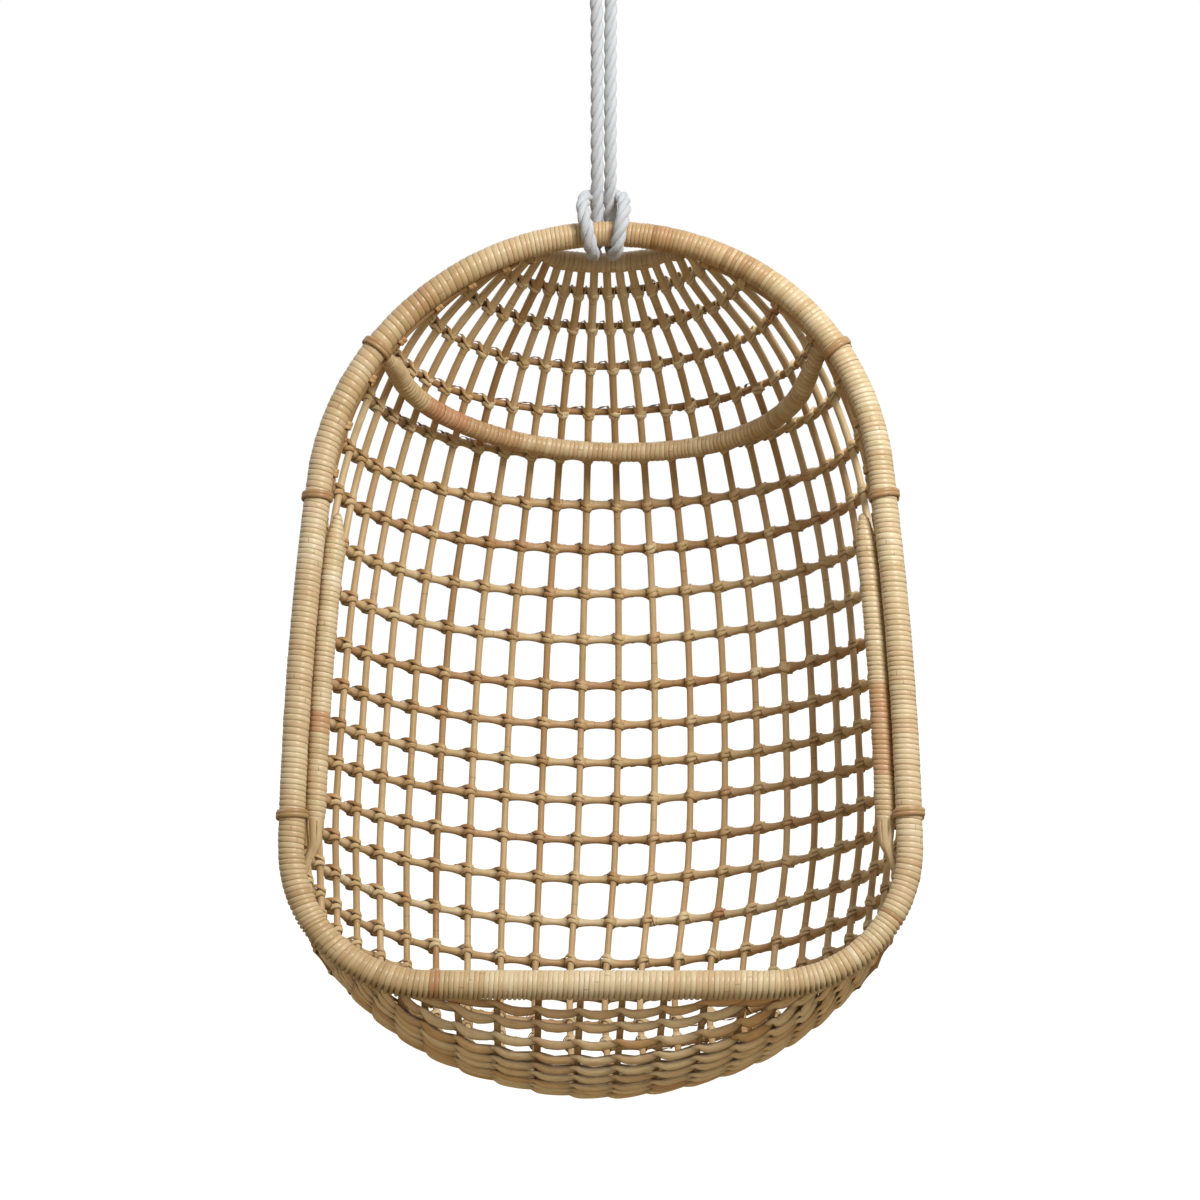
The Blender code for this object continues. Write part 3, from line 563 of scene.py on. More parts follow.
def wind(bundle, line, radii, sides, tones, up=None, closed=False, parted=None, widths=((0, 1), (1, 1))):
    """Winds one strip of peel along a pole. parted says how far its turns stand apart, from 0 to 1,
    and widths how wide they are at shares of its length."""
    along = length_along(line)
    if closed:
        around = np.vstack([line[-2:-1], line, line[1:2]])
        side, top = (part[1:-1] for part in frames_along(around, up)[1:])
    else:
        side, top = frames_along(line, up)[1:]
    turns = max(2, round(along[-1] / STRIP_WIDTH))
    widths = graded(widths, middles(turns)) * (
        1 + rng.normal(0, WIDTH_SPREAD, turns) + wavering(turns, WIDTH_DRIFT, 7))
    edges = np.r_[0, np.cumsum(widths)] / widths.sum() * along[-1]
    corners = np.arange(turns * sides + 1) / sides
    edge = lambda turn: np.interp(turn, np.arange(turns + 1), edges)
    waver = wavering(len(corners) + sides, EDGE_WAVER, sides / 3)
    if not closed:
        waver *= 0.5
    low = edge(corners) + waver[:len(corners)]
    high = edge(corners + 1) + waver[sides:]
    if closed:
        high += np.where(corners + 1 > turns, edge(corners + 1 - turns), 0)
    share = STRIP_SHARES[None]
    at = low[:, None] + share * (high - low)[:, None]
    place = np.mod(at, along[-1]) if closed else np.clip(at, 0, along[-1])
    middle, out_side, out_top = (read_off(values, along, place) for values in (line, side, top))
    angle = (2 * math.pi * corners)[:, None, None]
    out = unit(np.cos(angle) * out_side + np.sin(angle) * out_top)
    lift = np.interp(np.minimum(corners, turns - 1e-6), np.arange(turns), rng.normal(0, TURN_LIFT, turns))
    radius = np.interp(place, along, radii) + lift[:, None] + STRIP_HEIGHTS[None]
    if parted is not None:
        gap = parted(place, out) * np.abs(2 * share - 1) ** 2
        radius = radius - PARTING_DEPTH * gap
    girth = 2 * math.pi * np.mean(radii)
    grain = np.stack(np.broadcast_arrays(corners[:, None] * girth, share * STRIP_WIDTH, STRIP_LAYER), axis=2)
    turn = np.minimum(corners.astype(int), turns - 1)
    tone, blush = tones(turns)
    # The edges of each turn are painted darker, as shade in the grooves between turns.
    groove_shade = GROOVE_SHADE_MOST * rng.uniform(0.1, 1, turns)[turn][:, None] ** GROOVE_SHADE_RARITY
    painted_shade = np.where(share < 0.05, groove_shade, np.where(share > 0.95, 0.5 * groove_shade, 0.0))
    # Where turns part, the gap between them is painted darker too: painted shade.
    if parted is not None:
        painted_shade = np.maximum(painted_shade, PARTED_SHADE * gap)
    look = np.stack(np.broadcast_arrays(tone[turn][:, None], blush[turn][:, None], painted_shade), axis=2)
    bundle.grid(middle + radius[..., None] * out, grain + rng.uniform(0, 9, 3), look, False)
    return turns


# %% Rim


def evened(points, spacing):
    """The same polygon with corners added along its long sides, so that a straight run stays so."""
    parts = []
    for a, b in zip(points, np.roll(points, -1, axis=0)):
        count = max(1, round(np.linalg.norm(b - a) / spacing))
        parts.append(a + (b - a) * np.arange(count)[:, None] / count)
    return np.vstack(parts)


POLE_STEP = 4 * MM
RIM_CORNERS_APART = 20 * MM
rim_line = smooth(evened(rim_rings, RIM_CORNERS_APART), POLE_STEP, closed=True)
rim_along = length_along(rim_line)
rim_middle = rim_rings.mean(axis=0)
# The flattest direction of the rim's rings is the one that it faces in.
back_of_rim = np.linalg.svd(rim_rings - rim_middle)[2][2]
back_of_rim *= np.sign(back_of_rim[1])
print(f"rim: {rim_along[-1]:.3f} m round, its back towards", back_of_rim.round(3))


def rim_at(side, length):
    """The rim's place and inward direction this far from its apex, down one side."""
    at = length if side > 0 else rim_along[-1] - length
    place, ahead = (read_off(rim_line, rim_along, at + step) for step in (0, 1 * MM))
    ahead = unit(ahead - place) * side
    inward = unit(np.cross(ahead, back_of_rim))
    return place, inward * np.sign(inward @ (rim_middle - place))


# %% Winding the rim
# Stained strips, from one share of the way round to another: how much darker and redder they are.
RIM_MARKS = ((0.3785, 0.3815, 0.34, 0.4), (0.587, 0.592, 0.14, 0.7), (0.905, 0.915, 0.12, 0.2),
             (0.02, 0.034, 0.1, 0.2), (0.30, 0.306, 0.1, 0.3))
# Strips lie closer round the apex, under the rope, and wider on the left arch.
RIM_WIDTHS = ((0, 0.75), (0.03, 0.8), (0.06, 0.95), (0.84, 1), (0.88, 1.3), (0.92, 1.3), (0.95, 1),
              (0.97, 0.8), (1, 0.75))
# Tone of the peel at shares of the way round, from the apex down the right side.
RIM_TONES = ((0.0, 0.5), (0.12, 0.56), (0.2, 0.68), (0.3, 0.74), (0.36, 0.64), (0.42, 0.62), (0.45, 0.66),
             (0.55, 0.64), (0.59, 0.56), (0.64, 0.54), (0.68, 0.66), (0.8, 0.67), (0.88, 0.58), (0.95, 0.54),
             (1.0, 0.5))
# The winding is a little fuller along the front bar, where the sitter's legs rest.
RIM_GIRTH = ((0, 1), (0.37, 1), (0.42, 1.11), (0.56, 1.12), (0.585, 1.15), (0.62, 1.04), (0.65, 1), (1, 1))
# How far the turns part, round the front bar and its corners.
RIM_PARTING = ((0.35, 0), (0.37, 1), (0.42, 1), (0.44, 0.35), (0.56, 0.4), (0.58, 1), (0.63, 1), (0.65, 0))
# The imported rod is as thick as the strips' middles; a strip's face stands this much higher.
FACE_HEIGHT = 0.15 * MM
RIM_SIDES = 28


def rim_tones(turns):
    """Tone and blush of each turn round the rim."""
    tone, blush = strip_tones(turns)
    share = middles(turns)
    tone += graded(RIM_TONES, share)
    for start, end, darker, redder in RIM_MARKS:
        marked = (share > start) & (share < end)
        tone[marked] -= darker
        blush[marked] += redder
    return tone, blush * 0.6


def parted_below(place, out):
    """Round a bend the turns crowd on the inside and part on the outside, which is below here."""
    return graded(RIM_PARTING, place / rim_along[-1]) * np.clip(-1.8 * out[..., 2] - 0.4, 0, 1)


rim = Bundle()
rim_radius = (rim_radii.mean() + FACE_HEIGHT) * graded(RIM_GIRTH, rim_along / rim_along[-1])
turns = wind(rim, rim_line, rim_radius, RIM_SIDES, rim_tones, back_of_rim, True, parted_below, RIM_WIDTHS)
thin, thick = 2 * rim_radius.min() / MM, 2 * rim_radius.max() / MM
print(f"rim: {thin:.1f} to {thick:.1f} mm thick, {turns} turns")
rim.make("rim_winding", rattan_peel, "basket", "cane_wrapped_rim", ["front_rim"])

# %% Poles behind the rim


def zones(*parts):
    """Tones of a pole whose strips change at shares of its length: (up to, tone, blush)."""
    def tones(turns):
        pick = np.searchsorted([part[0] for part in parts], middles(turns))
        tone = np.array([part[1] for part in parts])[pick] + rng.normal(0, 0.05, turns)
        return tone + wavering(turns, 0.04, 4), np.array([part[2] for part in parts])[pick]
    return tones


POLE_TONES = {
    "top_bar": zones((0.3, 0.62, 0.08), (0.7, 0.7, 0.1), (1.0, 0.6, 0.08)),
    "back_hoop": zones((0.32, 0.5, 0.0), (0.64, 0.62, 0.06), (0.75, 0.44, 0.22), (0.835, 0.52, 0.6),
                       (1.0, 0.57, 0.04)),
    "side_pole_left": zones((0.62, 0.7, 0.0), (0.69, 0.58, 0.45), (1.0, 0.62, 0.0)),
    "side_pole_right": zones((0.5, 0.62, 0.0), (0.8, 0.5, 0.36), (1.0, 0.6, 0.0)),
}
# Where the ends of a pole meet the rim: the side and the rim's length there, and the rings left out.
POLE_TIPS = {"top_bar": ((1, 0.092), (-1, 0.104), 1), "back_hoop": ((1, 0.312), (-1, 0.332), 2)}
TIP_INWARD, TIP_BEHIND, TIP_RADIUS = 11 * MM, 14 * MM, 8.5 * MM
# The hoop hangs lower on the sitter's left, by this much from its middle to here.
HOOP_TILT, HOOP_HALF_WIDTH = 9 * MM, 0.2
WINDING_THICKNESS = 1.2 * MM
POLE_SIDES = 22
poles = {name: rings(name, POLE_RING_EDGE) for name in POLE_TONES}
for name, (centres, radii) in poles.items():
    line = np.hstack([centres, radii[:, None]])
    if name == "back_hoop":
        line[:, 2] -= HOOP_TILT * np.clip(line[:, 0] / HOOP_HALF_WIDTH, -1, 1)
    if name in POLE_TIPS:
        *meets, left_out = POLE_TIPS[name]
        tips = [np.r_[place + TIP_INWARD * inward + TIP_BEHIND * back_of_rim, TIP_RADIUS]
                for place, inward in (rim_at(side, length) for side, length in meets)]
        line = np.vstack([tips[:1], line[left_out:-left_out], tips[1:]])
    line = smooth(line, POLE_STEP)
    pole = Bundle()
    turns = wind(pole, line[:, :3], line[:, 3] + FACE_HEIGHT, POLE_SIDES, POLE_TONES[name])
    pole.strand(line[:, :3], oval(2, 2, 12), size=line[:, 3] - WINDING_THICKNESS, tone=0.4)
    print(f"{name}: {length_along(line)[-1]:.3f} m long, {turns} turns")
    pole.make(name + "_winding", rattan_peel, "basket", "cane_wrapped_pole", [name])

# %% Bindings round the rim
BINDING_WIDTH, BINDING_HEIGHT = 6.4 * MM, 3.8 * MM
RIM_RADIUS = 15.5 * MM
# A band goes a little over twice round. After its lead it moves along the rim by this much, for so
# many turns.
BAND_TURNS, BAND_STEPS = 2.15, 90
BAND_ADVANCE, BAND_LEAD, BAND_TRAVEL = 7.4 * MM, 0.15, 1.85
for name in sorted(node for node in frame["nodes"] if node.startswith("ring_binding")):
    low, high = (np.array(corner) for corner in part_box(name))
    at = np.argmin(np.linalg.norm(rim_line - (low + high) / 2, axis=1))
    ahead = unit(rim_line[at + 2] - rim_line[at - 2])
    out, side = back_of_rim, np.cross(ahead, back_of_rim)
    turn = np.linspace(0, BAND_TURNS, BAND_STEPS)
    angle = 2 * math.pi * turn[:, None] + 0.4
    along = (np.clip(turn - BAND_LEAD, 0, BAND_TRAVEL) / BAND_TRAVEL - 0.5)[:, None] * BAND_ADVANCE
    radius = RIM_RADIUS + BINDING_HEIGHT / 2
    path = rim_line[at] + along * ahead + radius * (np.cos(angle) * out + np.sin(angle) * side)
    ring = Bundle()
    ring.strand(path, oval(BINDING_WIDTH, BINDING_HEIGHT, 10), up=path - rim_line[at] - along * ahead,
                tone=0.32 + wavering(BAND_STEPS, 0.07, 12), blush=0.1)
    ring.make(name + "_turns", rattan_peel, "basket", "binding_cane", [name])

# %% [markdown]
# ## Canes of the open mesh
# Upright canes run from the top bar to the front bar, and level canes cross behind them. The packed
# canes have a ring wherever two of them cross, so a crossing is a pair of rings about one cane
# apart. Real canes are not quite round or even: they swell a little at the joints of the stem and
# waver by a fraction of a millimetre.

# %% Crossings
CROSSING_REACH = 11 * MM
wefts = {name: centres if centres[0][0] < centres[-1][0] else centres[::-1]
         for name, centres in wefts.items()}


def crossings_of(weft):
    """Each place where an upright crosses a level cane: both places and both directions."""
    found = []
    for i in range(1, len(weft) - 1):
        for centres in warps.values():
            apart = np.linalg.norm(centres - weft[i], axis=1)
            j = int(apart.argmin())
            if apart[j] < CROSSING_REACH:
                down = centres[min(j + 1, len(centres) - 1)] - centres[max(j - 1, 0)]
                found.append((weft[i], centres[j], unit(weft[i + 1] - weft[i - 1]), unit(down)))
    return found


rows = {name: crossings_of(centres) for name, centres in wefts.items()}
# The lowest level cane is tucked up close behind the front bar's line of sight, as the ties pull it.
LOWEST_TUCKED = 6 * MM
tucked = -LOWEST_TUCKED * np.mean([crossing[3] for crossing in rows["weft_18"]], axis=0)
wefts["weft_18"] = wefts["weft_18"] + tucked
rows["weft_18"] = [(weft + tucked, warp + tucked, right, down) for weft, warp, right, down in rows["weft_18"]]
knots = np.array([crossing[:2] for row in rows.values() for crossing in row])
print("crossings:", len(knots))

# %% Round canes
# Diameters at heights below the ceiling.
WARP_DIAMETERS = ((-1.35, 8.3 * MM), (-0.75, 9.1 * MM), (-0.52, 10.4 * MM))
WEFT_DIAMETERS = ((-1.35, 8.6 * MM), (-0.8, 9.3 * MM), (-0.66, 8.6 * MM), (-0.55, 8.2 * MM))
# The stem's joints lie this far apart, and swell it by this share over this length.
CANE_JOINTS, JOINT_SWELL, SWELL_LENGTH = 0.19, 0.05, 4 * MM
CANE_STEP = 3.5 * MM
CANE_TONE_SPREAD, CANE_TONE_DRIFT = 0.07, 0.05
round_section = oval(2, 2, 12)


def cane_size(line, diameters, tied, swelling, reach):
    """Half the diameter at each point: thinner downwards, and fuller where a tie draws in around it."""
    apart = np.linalg.norm(line[:, None] - tied[None], axis=2).min(axis=1)
    joint = np.mod(length_along(line) + rng.uniform(0, 1), CANE_JOINTS) / CANE_JOINTS
    swell = JOINT_SWELL * np.exp(-((np.minimum(joint, 1 - joint) * CANE_JOINTS / SWELL_LENGTH) ** 2))
    full = 1 + swell + swelling * np.exp(-((apart / reach) ** 2)) + wavering(len(line), 0.012, 9)
    return graded(diameters, line[:, 2]) / 2 * full


def cane_tone(line, base):
    """Tone of one cane: its own level, and a slow drift along it."""
    return base + rng.normal(0, CANE_TONE_SPREAD) + wavering(len(line), CANE_TONE_DRIFT, 18)


# %% Upright canes
# The top ends run on to the rim or the top bar, in steps that turn towards it.
DRAWN_STEP, DRAWN_AT_MOST, DRAWN_NEAR = 5 * MM, 60 * MM, 8 * MM
# A tie draws in round an upright only a little: how much fuller it looks there, and over what length.
WARP_SWELLING, WARP_TIE_REACH = 0.2, 6.5 * MM
# The tone of most uprights, and how much darker three of them are.
WARP_TONE = 0.64
WARP_TONES = {"warp_left_05": -0.22, "warp_right_07": -0.1, "warp_left_09": -0.1}
# Less handled, the canes high in the crown have stayed paler.
CROWN_PALER = ((-0.64, 0.0), (-0.52, 0.16))


def drawn_to(line, targets):
    """The line, with its first end run on in a curve until it meets one of the target lines."""
    added, ahead = [line[0]], unit(line[0] - line[1])
    for _ in range(round(DRAWN_AT_MOST / DRAWN_STEP)):
        gap = targets[np.linalg.norm(targets - added[-1], axis=1).argmin()] - added[-1]
        if np.linalg.norm(gap) < DRAWN_NEAR:
            break
        ahead = unit(ahead + 0.4 * unit(gap))
        added.append(added[-1] + DRAWN_STEP * ahead)
    return np.vstack([added[:0:-1], line]) if len(added) > 1 else line


head_targets = np.vstack([rim_line, poles["top_bar"][0]])
upright = Bundle()
for name, centres in warps.items():
    line = smooth(drawn_to(centres, head_targets), CANE_STEP)
    size = cane_size(line, WARP_DIAMETERS, knots[:, 1], WARP_SWELLING, WARP_TIE_REACH)
    tone = cane_tone(line, WARP_TONE + WARP_TONES.get(name, 0)) + graded(CROWN_PALER, line[:, 2])
    upright.strand(line, round_section, size=size, tone=tone, blush=max(0, rng.normal(0, 0.1)))
upright.make("upright_canes", rattan_cane, "basket", "round_cane", list(warps))

# %% Level canes
# A painted shadow of each tie on the level cane is darkest this far before the tie, over this length.
KNOT_SHADOW_MOST, KNOT_SHADOW_BEFORE, KNOT_SHADOW_LENGTH = 0.85, 7.8 * MM, 2.7 * MM
# The turns round a level cane make it look fuller, less so in the crown, over this length.
WEFT_SWELLING, CROWN_SWELLING, WEFT_TIE_REACH = 0.72, 0.14, 12.5 * MM
WEFT_TONE = 0.74


def knot_shadow_painted(line, tied):
    """How much a painted shadow darkens a level cane just before each of its ties."""
    along = length_along(line)
    ties = along[np.linalg.norm(line[:, None] - tied[None], axis=2).argmin(axis=0)]
    return KNOT_SHADOW_MOST * np.exp(-(((along[:, None] - ties + KNOT_SHADOW_BEFORE) / KNOT_SHADOW_LENGTH) ** 2)).max(axis=1)


# The level canes high in the crown are painted darker than those below, as the shade deep in the crown.
CROWN_SHADED_TONES = {"weft_01": 0.24, "weft_02": 0.3, "weft_03": 0.36, "weft_04": 0.44}
# Some of the level canes are redder than the rest.
REDDER = {"weft_03": 0.15, "weft_04": 0.25, "weft_07": 0.5, "weft_10": 0.55, "weft_11": 0.3, "weft_14": 0.35}
level = Bundle()
for name, centres in wefts.items():
    line = smooth(centres, CANE_STEP)
    swelling = CROWN_SWELLING if name in CROWN_SHADED_TONES else WEFT_SWELLING
    level.strand(line, round_section, tone=cane_tone(line, CROWN_SHADED_TONES.get(name, WEFT_TONE)),
                 size=cane_size(line, WEFT_DIAMETERS, knots[:, 0], swelling, WEFT_TIE_REACH),
                 blush=max(0, rng.normal(0.02, 0.15)) + REDDER.get(name, 0),
                 painted_shade=knot_shadow_painted(line, np.array([crossing[0] for crossing in rows[name]])))
level.make("level_canes", rattan_cane, "basket", "round_cane", list(wefts))

# %% [markdown]
# ## Rows of the seat
# Under the seat the level canes give way to twining. A row lies in one plane, which cuts both sides
# of the rim and every upright. So the script takes the plane through two places on the rim and the
# middle uprights, and looks for where each upright passes through it.

# %% Where a seat row meets the uprights
# Each row: how many packed seat rings below the last level cane, and its ends' length down the rim.
OPEN_SEAT_ROWS = ((0.88, 1.005), (1.74, 1.026), (2.7, 1.041))
TWINED_ROWS = (
    (3.10, 1.052), (3.50, 1.057), (3.92, 1.062), (4.34, 1.068), (4.78, 1.074), (5.25, 1.080),
    (5.75, 1.086), (6.20, 1.092), (6.61, 1.098), (7.07, 1.107), (7.49, 1.117), (7.85, 1.128),
    (8.40, 1.142), (8.94, 1.157), (9.47, 1.175))
SEAT_RINGS = 11
BEHIND_RIM = 17 * MM
# A place this far behind the rim's middle lies inside the basket, so outward is away from it.
MIDDLE_BEHIND_RIM = 0.12
# An upright counts where it passes the row's plane lower than this above the row's ends.
ABOVE_ENDS = 0.02
warp_lines = [smooth(centres, 3 * MM) for centres in warps.values()]


def seat_row(ring, rim_length):
    """The row's ends; then, from left to right, the places where it crosses the uprights, and the
    outward, downward and sideward directions there."""
    ends = [rim_at(side, rim_length)[0] + BEHIND_RIM * back_of_rim for side in (-1, 1)]
    middle = np.mean([read_off(warps[name][-SEAT_RINGS:], range(SEAT_RINGS), ring)
                      for name in ("warp_left_01", "warp_right_01")], axis=0)
    plane = unit(np.cross(ends[1] - ends[0], middle - (ends[0] + ends[1]) / 2))
    found = []
    for line in warp_lines:
        height = (line - middle) @ plane
        cuts = np.nonzero(np.diff(np.sign(height)))[0]
        if not len(cuts):
            continue
        i = cuts[-1]
        place = line[i] + (line[i + 1] - line[i]) * height[i] / (height[i] - height[i + 1])
        past_end = (place - ends[0]) @ unit(ends[1] - ends[0])
        if place[2] < ends[0][2] + ABOVE_ENDS and 0 < past_end < np.linalg.norm(ends[1] - ends[0]):
            found.append((place, unit(line[i + 1] - line[i])))
    found.sort(key=lambda crossing: crossing[0][0])
    places, downs = (np.array(part) for part in zip(*found))
    across = unit(np.gradient(np.vstack([ends[:1], places, ends[1:]]), axis=0)[1:-1])
    normals = unit(np.cross(across, downs))
    inside = rim_middle + MIDDLE_BEHIND_RIM * back_of_rim
    normals *= np.sign((normals * (places - inside)).sum(1))[:, None]
    return np.array(ends), places, normals, downs, across


for ring, rim_length in TWINED_ROWS[::5]:
    places = seat_row(ring, rim_length)[1]
    print(f"row at {rim_length:.3f} m: {len(places)} uprights, lowest {places[:, 2].min():.3f}")

# %% Level canes in the seat's open rows
# A level cane lies outside the uprights, one cane's thickness from middle to middle.
CANE_APART = 2 * 4.6 * MM
SEAT_CANE_TONE, SEAT_SWELLING, SEAT_TIE_REACH = 0.5, 0.38, 10 * MM
SEAT_CANE_STEP = 6 * MM
seat_canes = Bundle()
for ring, rim_length in OPEN_SEAT_ROWS:
    ends, places, normals, downs, across = seat_row(ring, rim_length)
    tied = places + CANE_APART * normals
    centres = np.vstack([ends[:1], tied, ends[1:]])
    line = smooth(centres, SEAT_CANE_STEP)
    seat_canes.strand(line, round_section, tone=cane_tone(line, SEAT_CANE_TONE),
                      size=cane_size(line, WEFT_DIAMETERS, tied, SEAT_SWELLING, SEAT_TIE_REACH))
    rows[f"seat_row_{rim_length}"] = list(zip(tied, places, across, downs))
    wefts[f"seat_row_{rim_length}"] = centres
seat_canes.make("seat_level_canes", rattan_cane, "basket", "round_cane")

# %% [markdown]
# ## Lashings
# Every crossing is tied with a soft split cane. It comes along the back of the level cane, goes
# over the upright, round the back of the level cane and over the upright again, and runs on to the
# next crossing. Its two passes make the knuckle that gives this basket its texture. One path in
# local directions (right along the level cane, down along the upright, in towards the sitter)
# serves every knot, and most knots in the right half of the basket are its mirror image.

# %% The knot's path
KNOT = np.array([  # right, down, in, in millimetres
    (-13, -5.6, -7.6), (-8.6, -7.4, -4.6), (-5.6, -6.0, 4.8), (0, -3.4, 10.1), (5.2, -1.2, 7.4),
    (6.7, 1.6, 2.5), (7.0, 5.2, -3.8), (2.5, 5.0, -9.6), (-2.5, 4.2, -9.8), (-6.6, 4.2, -4.2),
    (-6.7, 3.2, 2.0), (-5.2, 1.4, 7.0), (0, 2.0, 10.2), (5.2, 4.2, 6.8), (6.7, 4.4, 2.0),
    (7.9, -0.6, 0.2), (9.6, -5.0, -3.6)]) * MM
# Tone of each point of the knot: its ends, where it runs behind the level cane, are painted darker as shade.
KNOT_SHADED_TONES = np.r_[-0.4, -0.4, -0.1, np.full(13, 0.14), -0.15]
KNOT_SIZES = np.r_[0.6, 0.7, 0.95, np.full(13, 1.04), 0.8]
WINGS_IN_CROWN = np.r_[0.65, 0.65, np.ones(14), 0.7]
BINDER = oval(6.6 * MM, 1.4 * MM, 8, 0.5)
# How far each bend of a knot strays, the least half width it keeps, and what it leaves to the next.
KNOT_STRAY, KNOT_REACH, KNOT_ROOM = 0.3 * MM, 5.8 * MM, 0.4 * MM
print(f"knot: {length_along(KNOT)[-1] / MM:.0f} mm of strand")

# %% Tying one level cane
# A gap wider than this between two knots shows the strand that runs on along the level cane.
OPEN_RUN = 14 * MM
# Its three places: share of the gap, and down and in from the level cane's axis, in mm. High in the
# crown its middle stands off the level cane; lower down it lies close behind it.
RUN_IN_CROWN = ((0.3, -3.2, -4.6), (0.5, -7.5, -2.5), (0.7, -3.6, -4.2))
RUN_BELOW = ((0.3, -3.2, -4.6), (0.5, -1.5, -5.1), (0.7, -3.6, -4.2))
# The knots' tone, the run's tone against it, and the run's size. In the crown the run, behind the level cane,
# is painted darker as shade.
LOOK_IN_CROWN, LOOK_BELOW = (0.84, -0.4, 0.6), (0.6, -0.05, 0.9)
# From here to the right most knots are tied the other way round.
MIRRORED_FROM, MIRRORED_SHARE = 0.05, 0.9
# How far apart the binder's points lie, and how much darker its first side is painted, as shade.
BINDER_STEP, BINDER_SHADED_SIDE = 3.4 * MM, 0.6


def lash(bundle, crossings, in_crown):
    """Ties one level cane to every upright. The seat's open rows are tied as those in the crown are."""
    points, tops, tones, blushes, sizes = [], [], [], [], []
    gaps = [np.linalg.norm(b[0] - a[0]) for a, b in zip(crossings, crossings[1:])]
    gaps = [gaps[0], *gaps, gaps[-1]]
    run = RUN_IN_CROWN if in_crown else RUN_BELOW
    level_tone, run_shaded_tone, run_size = LOOK_IN_CROWN if in_crown else LOOK_BELOW
    level_tone += rng.normal(0, 0.05)
    last = None
    for i, (weft_place, warp_place, right, down) in enumerate(crossings):
        middle = (weft_place + warp_place) / 2
        inward = unit(warp_place - weft_place)
        flip = -1 if middle[0] > MIRRORED_FROM and rng.random() < MIRRORED_SHARE else 1
        local = KNOT * (1, flip, 1) + rng.normal(0, KNOT_STRAY, KNOT.shape)
        reach = max(KNOT_REACH, min(gaps[i], gaps[i + 1]) / 2 - KNOT_ROOM)
        local[:, 0] = np.clip(local[:, 0], -reach, reach)
        knot = middle + local[:, :1] * right + local[:, 1:2] * down + local[:, 2:] * inward
        if last is not None and np.linalg.norm(knot[0] - last[-1]) > OPEN_RUN:
            for share, height, depth in run:
                axis = before * (1 - share) + weft_place * share
                points.append(axis + height * flip * MM * down + depth * MM * inward)
                tops.append(height * flip * down + depth * inward)
                tones.append(level_tone + run_shaded_tone)
                blushes.append(0.0)
                sizes.append(run_size)
        before = weft_place
        last = knot
        points += list(knot)
        tops += list(local[:, :1] * right + 0.5 * local[:, 1:2] * down + local[:, 2:] * inward)
        tones += list(level_tone + rng.normal(0, 0.1) + KNOT_SHADED_TONES)
        blushes += [max(0.0, rng.normal(-0.2, 0.3))] * len(KNOT)
        sizes += list(KNOT_SIZES * (WINGS_IN_CROWN if in_crown else 1))
    carried = np.hstack([points, unit(np.array(tops)), np.stack([tones, blushes, sizes], axis=1)])
    line = smooth(carried, BINDER_STEP)
    bundle.strand(line[:, :3], BINDER, up=line[:, 3:6], size=line[:, 8] + wavering(len(line), 0.05, 5),
                  edge=BINDER_SHADED_SIDE, tone=line[:, 6], blush=np.clip(line[:, 7], 0, 1))


# %% All the lashings
lashings = Bundle()
for name, crossings in rows.items():
    lash(lashings, crossings, name.startswith("seat_row") or name < "weft_06")
lashings.make("crossing_lashings", rattan_binder, "basket", "binding_cane")

# %% [markdown]
# ## Twined rows
# The seat is waled: three flat strands travel together, and each goes outside two uprights and
# inside the third, one upright behind the next strand. Each new strand comes out over the one
# before, dips in the middle of the gap and rises to the next upright, so that the rows read as
# overlapping leaves. Offsets of the strand are given by its place in that cycle of three uprights;
# under the seat an upright runs forwards and up to the front bar, so a dip is against its direction.

# %% Waling
LEAF_WIDTH, LEAF_HEIGHT = 12.4 * MM, 6.6 * MM
# How much darker each leaf's first side is painted, as shade between the rows.
LEAF_SHADED_SIDE = 0.85
ROW_TONE = 0.96
WALING_STRANDS = 3
STEPS_PER_UPRIGHT = 12
# Place in the cycle, out from and down along the upright in mm, size, and how dark the painted shade is
# where the strand dives behind its neighbours.
CYCLE, CYCLE_OUT, CYCLE_DOWN, CYCLE_SIZE, CYCLE_SHADE = (np.array([
    (0.0, -6.6, 8.0, 0.5, 0.5), (0.5, 3.0, 4.5, 0.5, 0.5), (0.8, 7.2, -1.5, 0.5, 0.4),
    (0.9, 9.0, -5.6, 0.54, 0.15), (1.0, 10.4, -6.2, 0.68, 0.0), (1.12, 10.6, -2.6, 0.9, 0.0),
    (1.25, 10.0, 0.2, 1.02, 0.0), (1.5, 9.2, 1.3, 1.06, 0.0), (1.8, 8.2, 0.2, 0.9, 0.15),
    (2.0, 7.2, -1.6, 0.64, 0.6), (2.4, 4.0, 3.0, 0.5, 0.6), (3.0, -6.6, 8.0, 0.5, 0.5)])
    * (1, MM, MM, 1, 1)).T
# The rows close up towards the sides, and their strands are thinner there: distance out, and share.
CLOSING = ((0.0, 1.0), (0.12, 1.0), (0.15, 1.14), (0.2, 1.14), (0.24, 0.82), (0.3, 0.55))
leaf = oval(LEAF_WIDTH, LEAF_HEIGHT, 12, 0.5)


def between_uprights(values, at):
    """Values known at one end of a row, at each upright and at the other end, on a smooth curve."""
    span = np.clip(np.floor(at + 1).astype(int), 0, len(values) - 2)
    padded = run_on(values)
    return spline(*(padded[span + k] for k in range(4)), (at + 1 - span)[:, None])


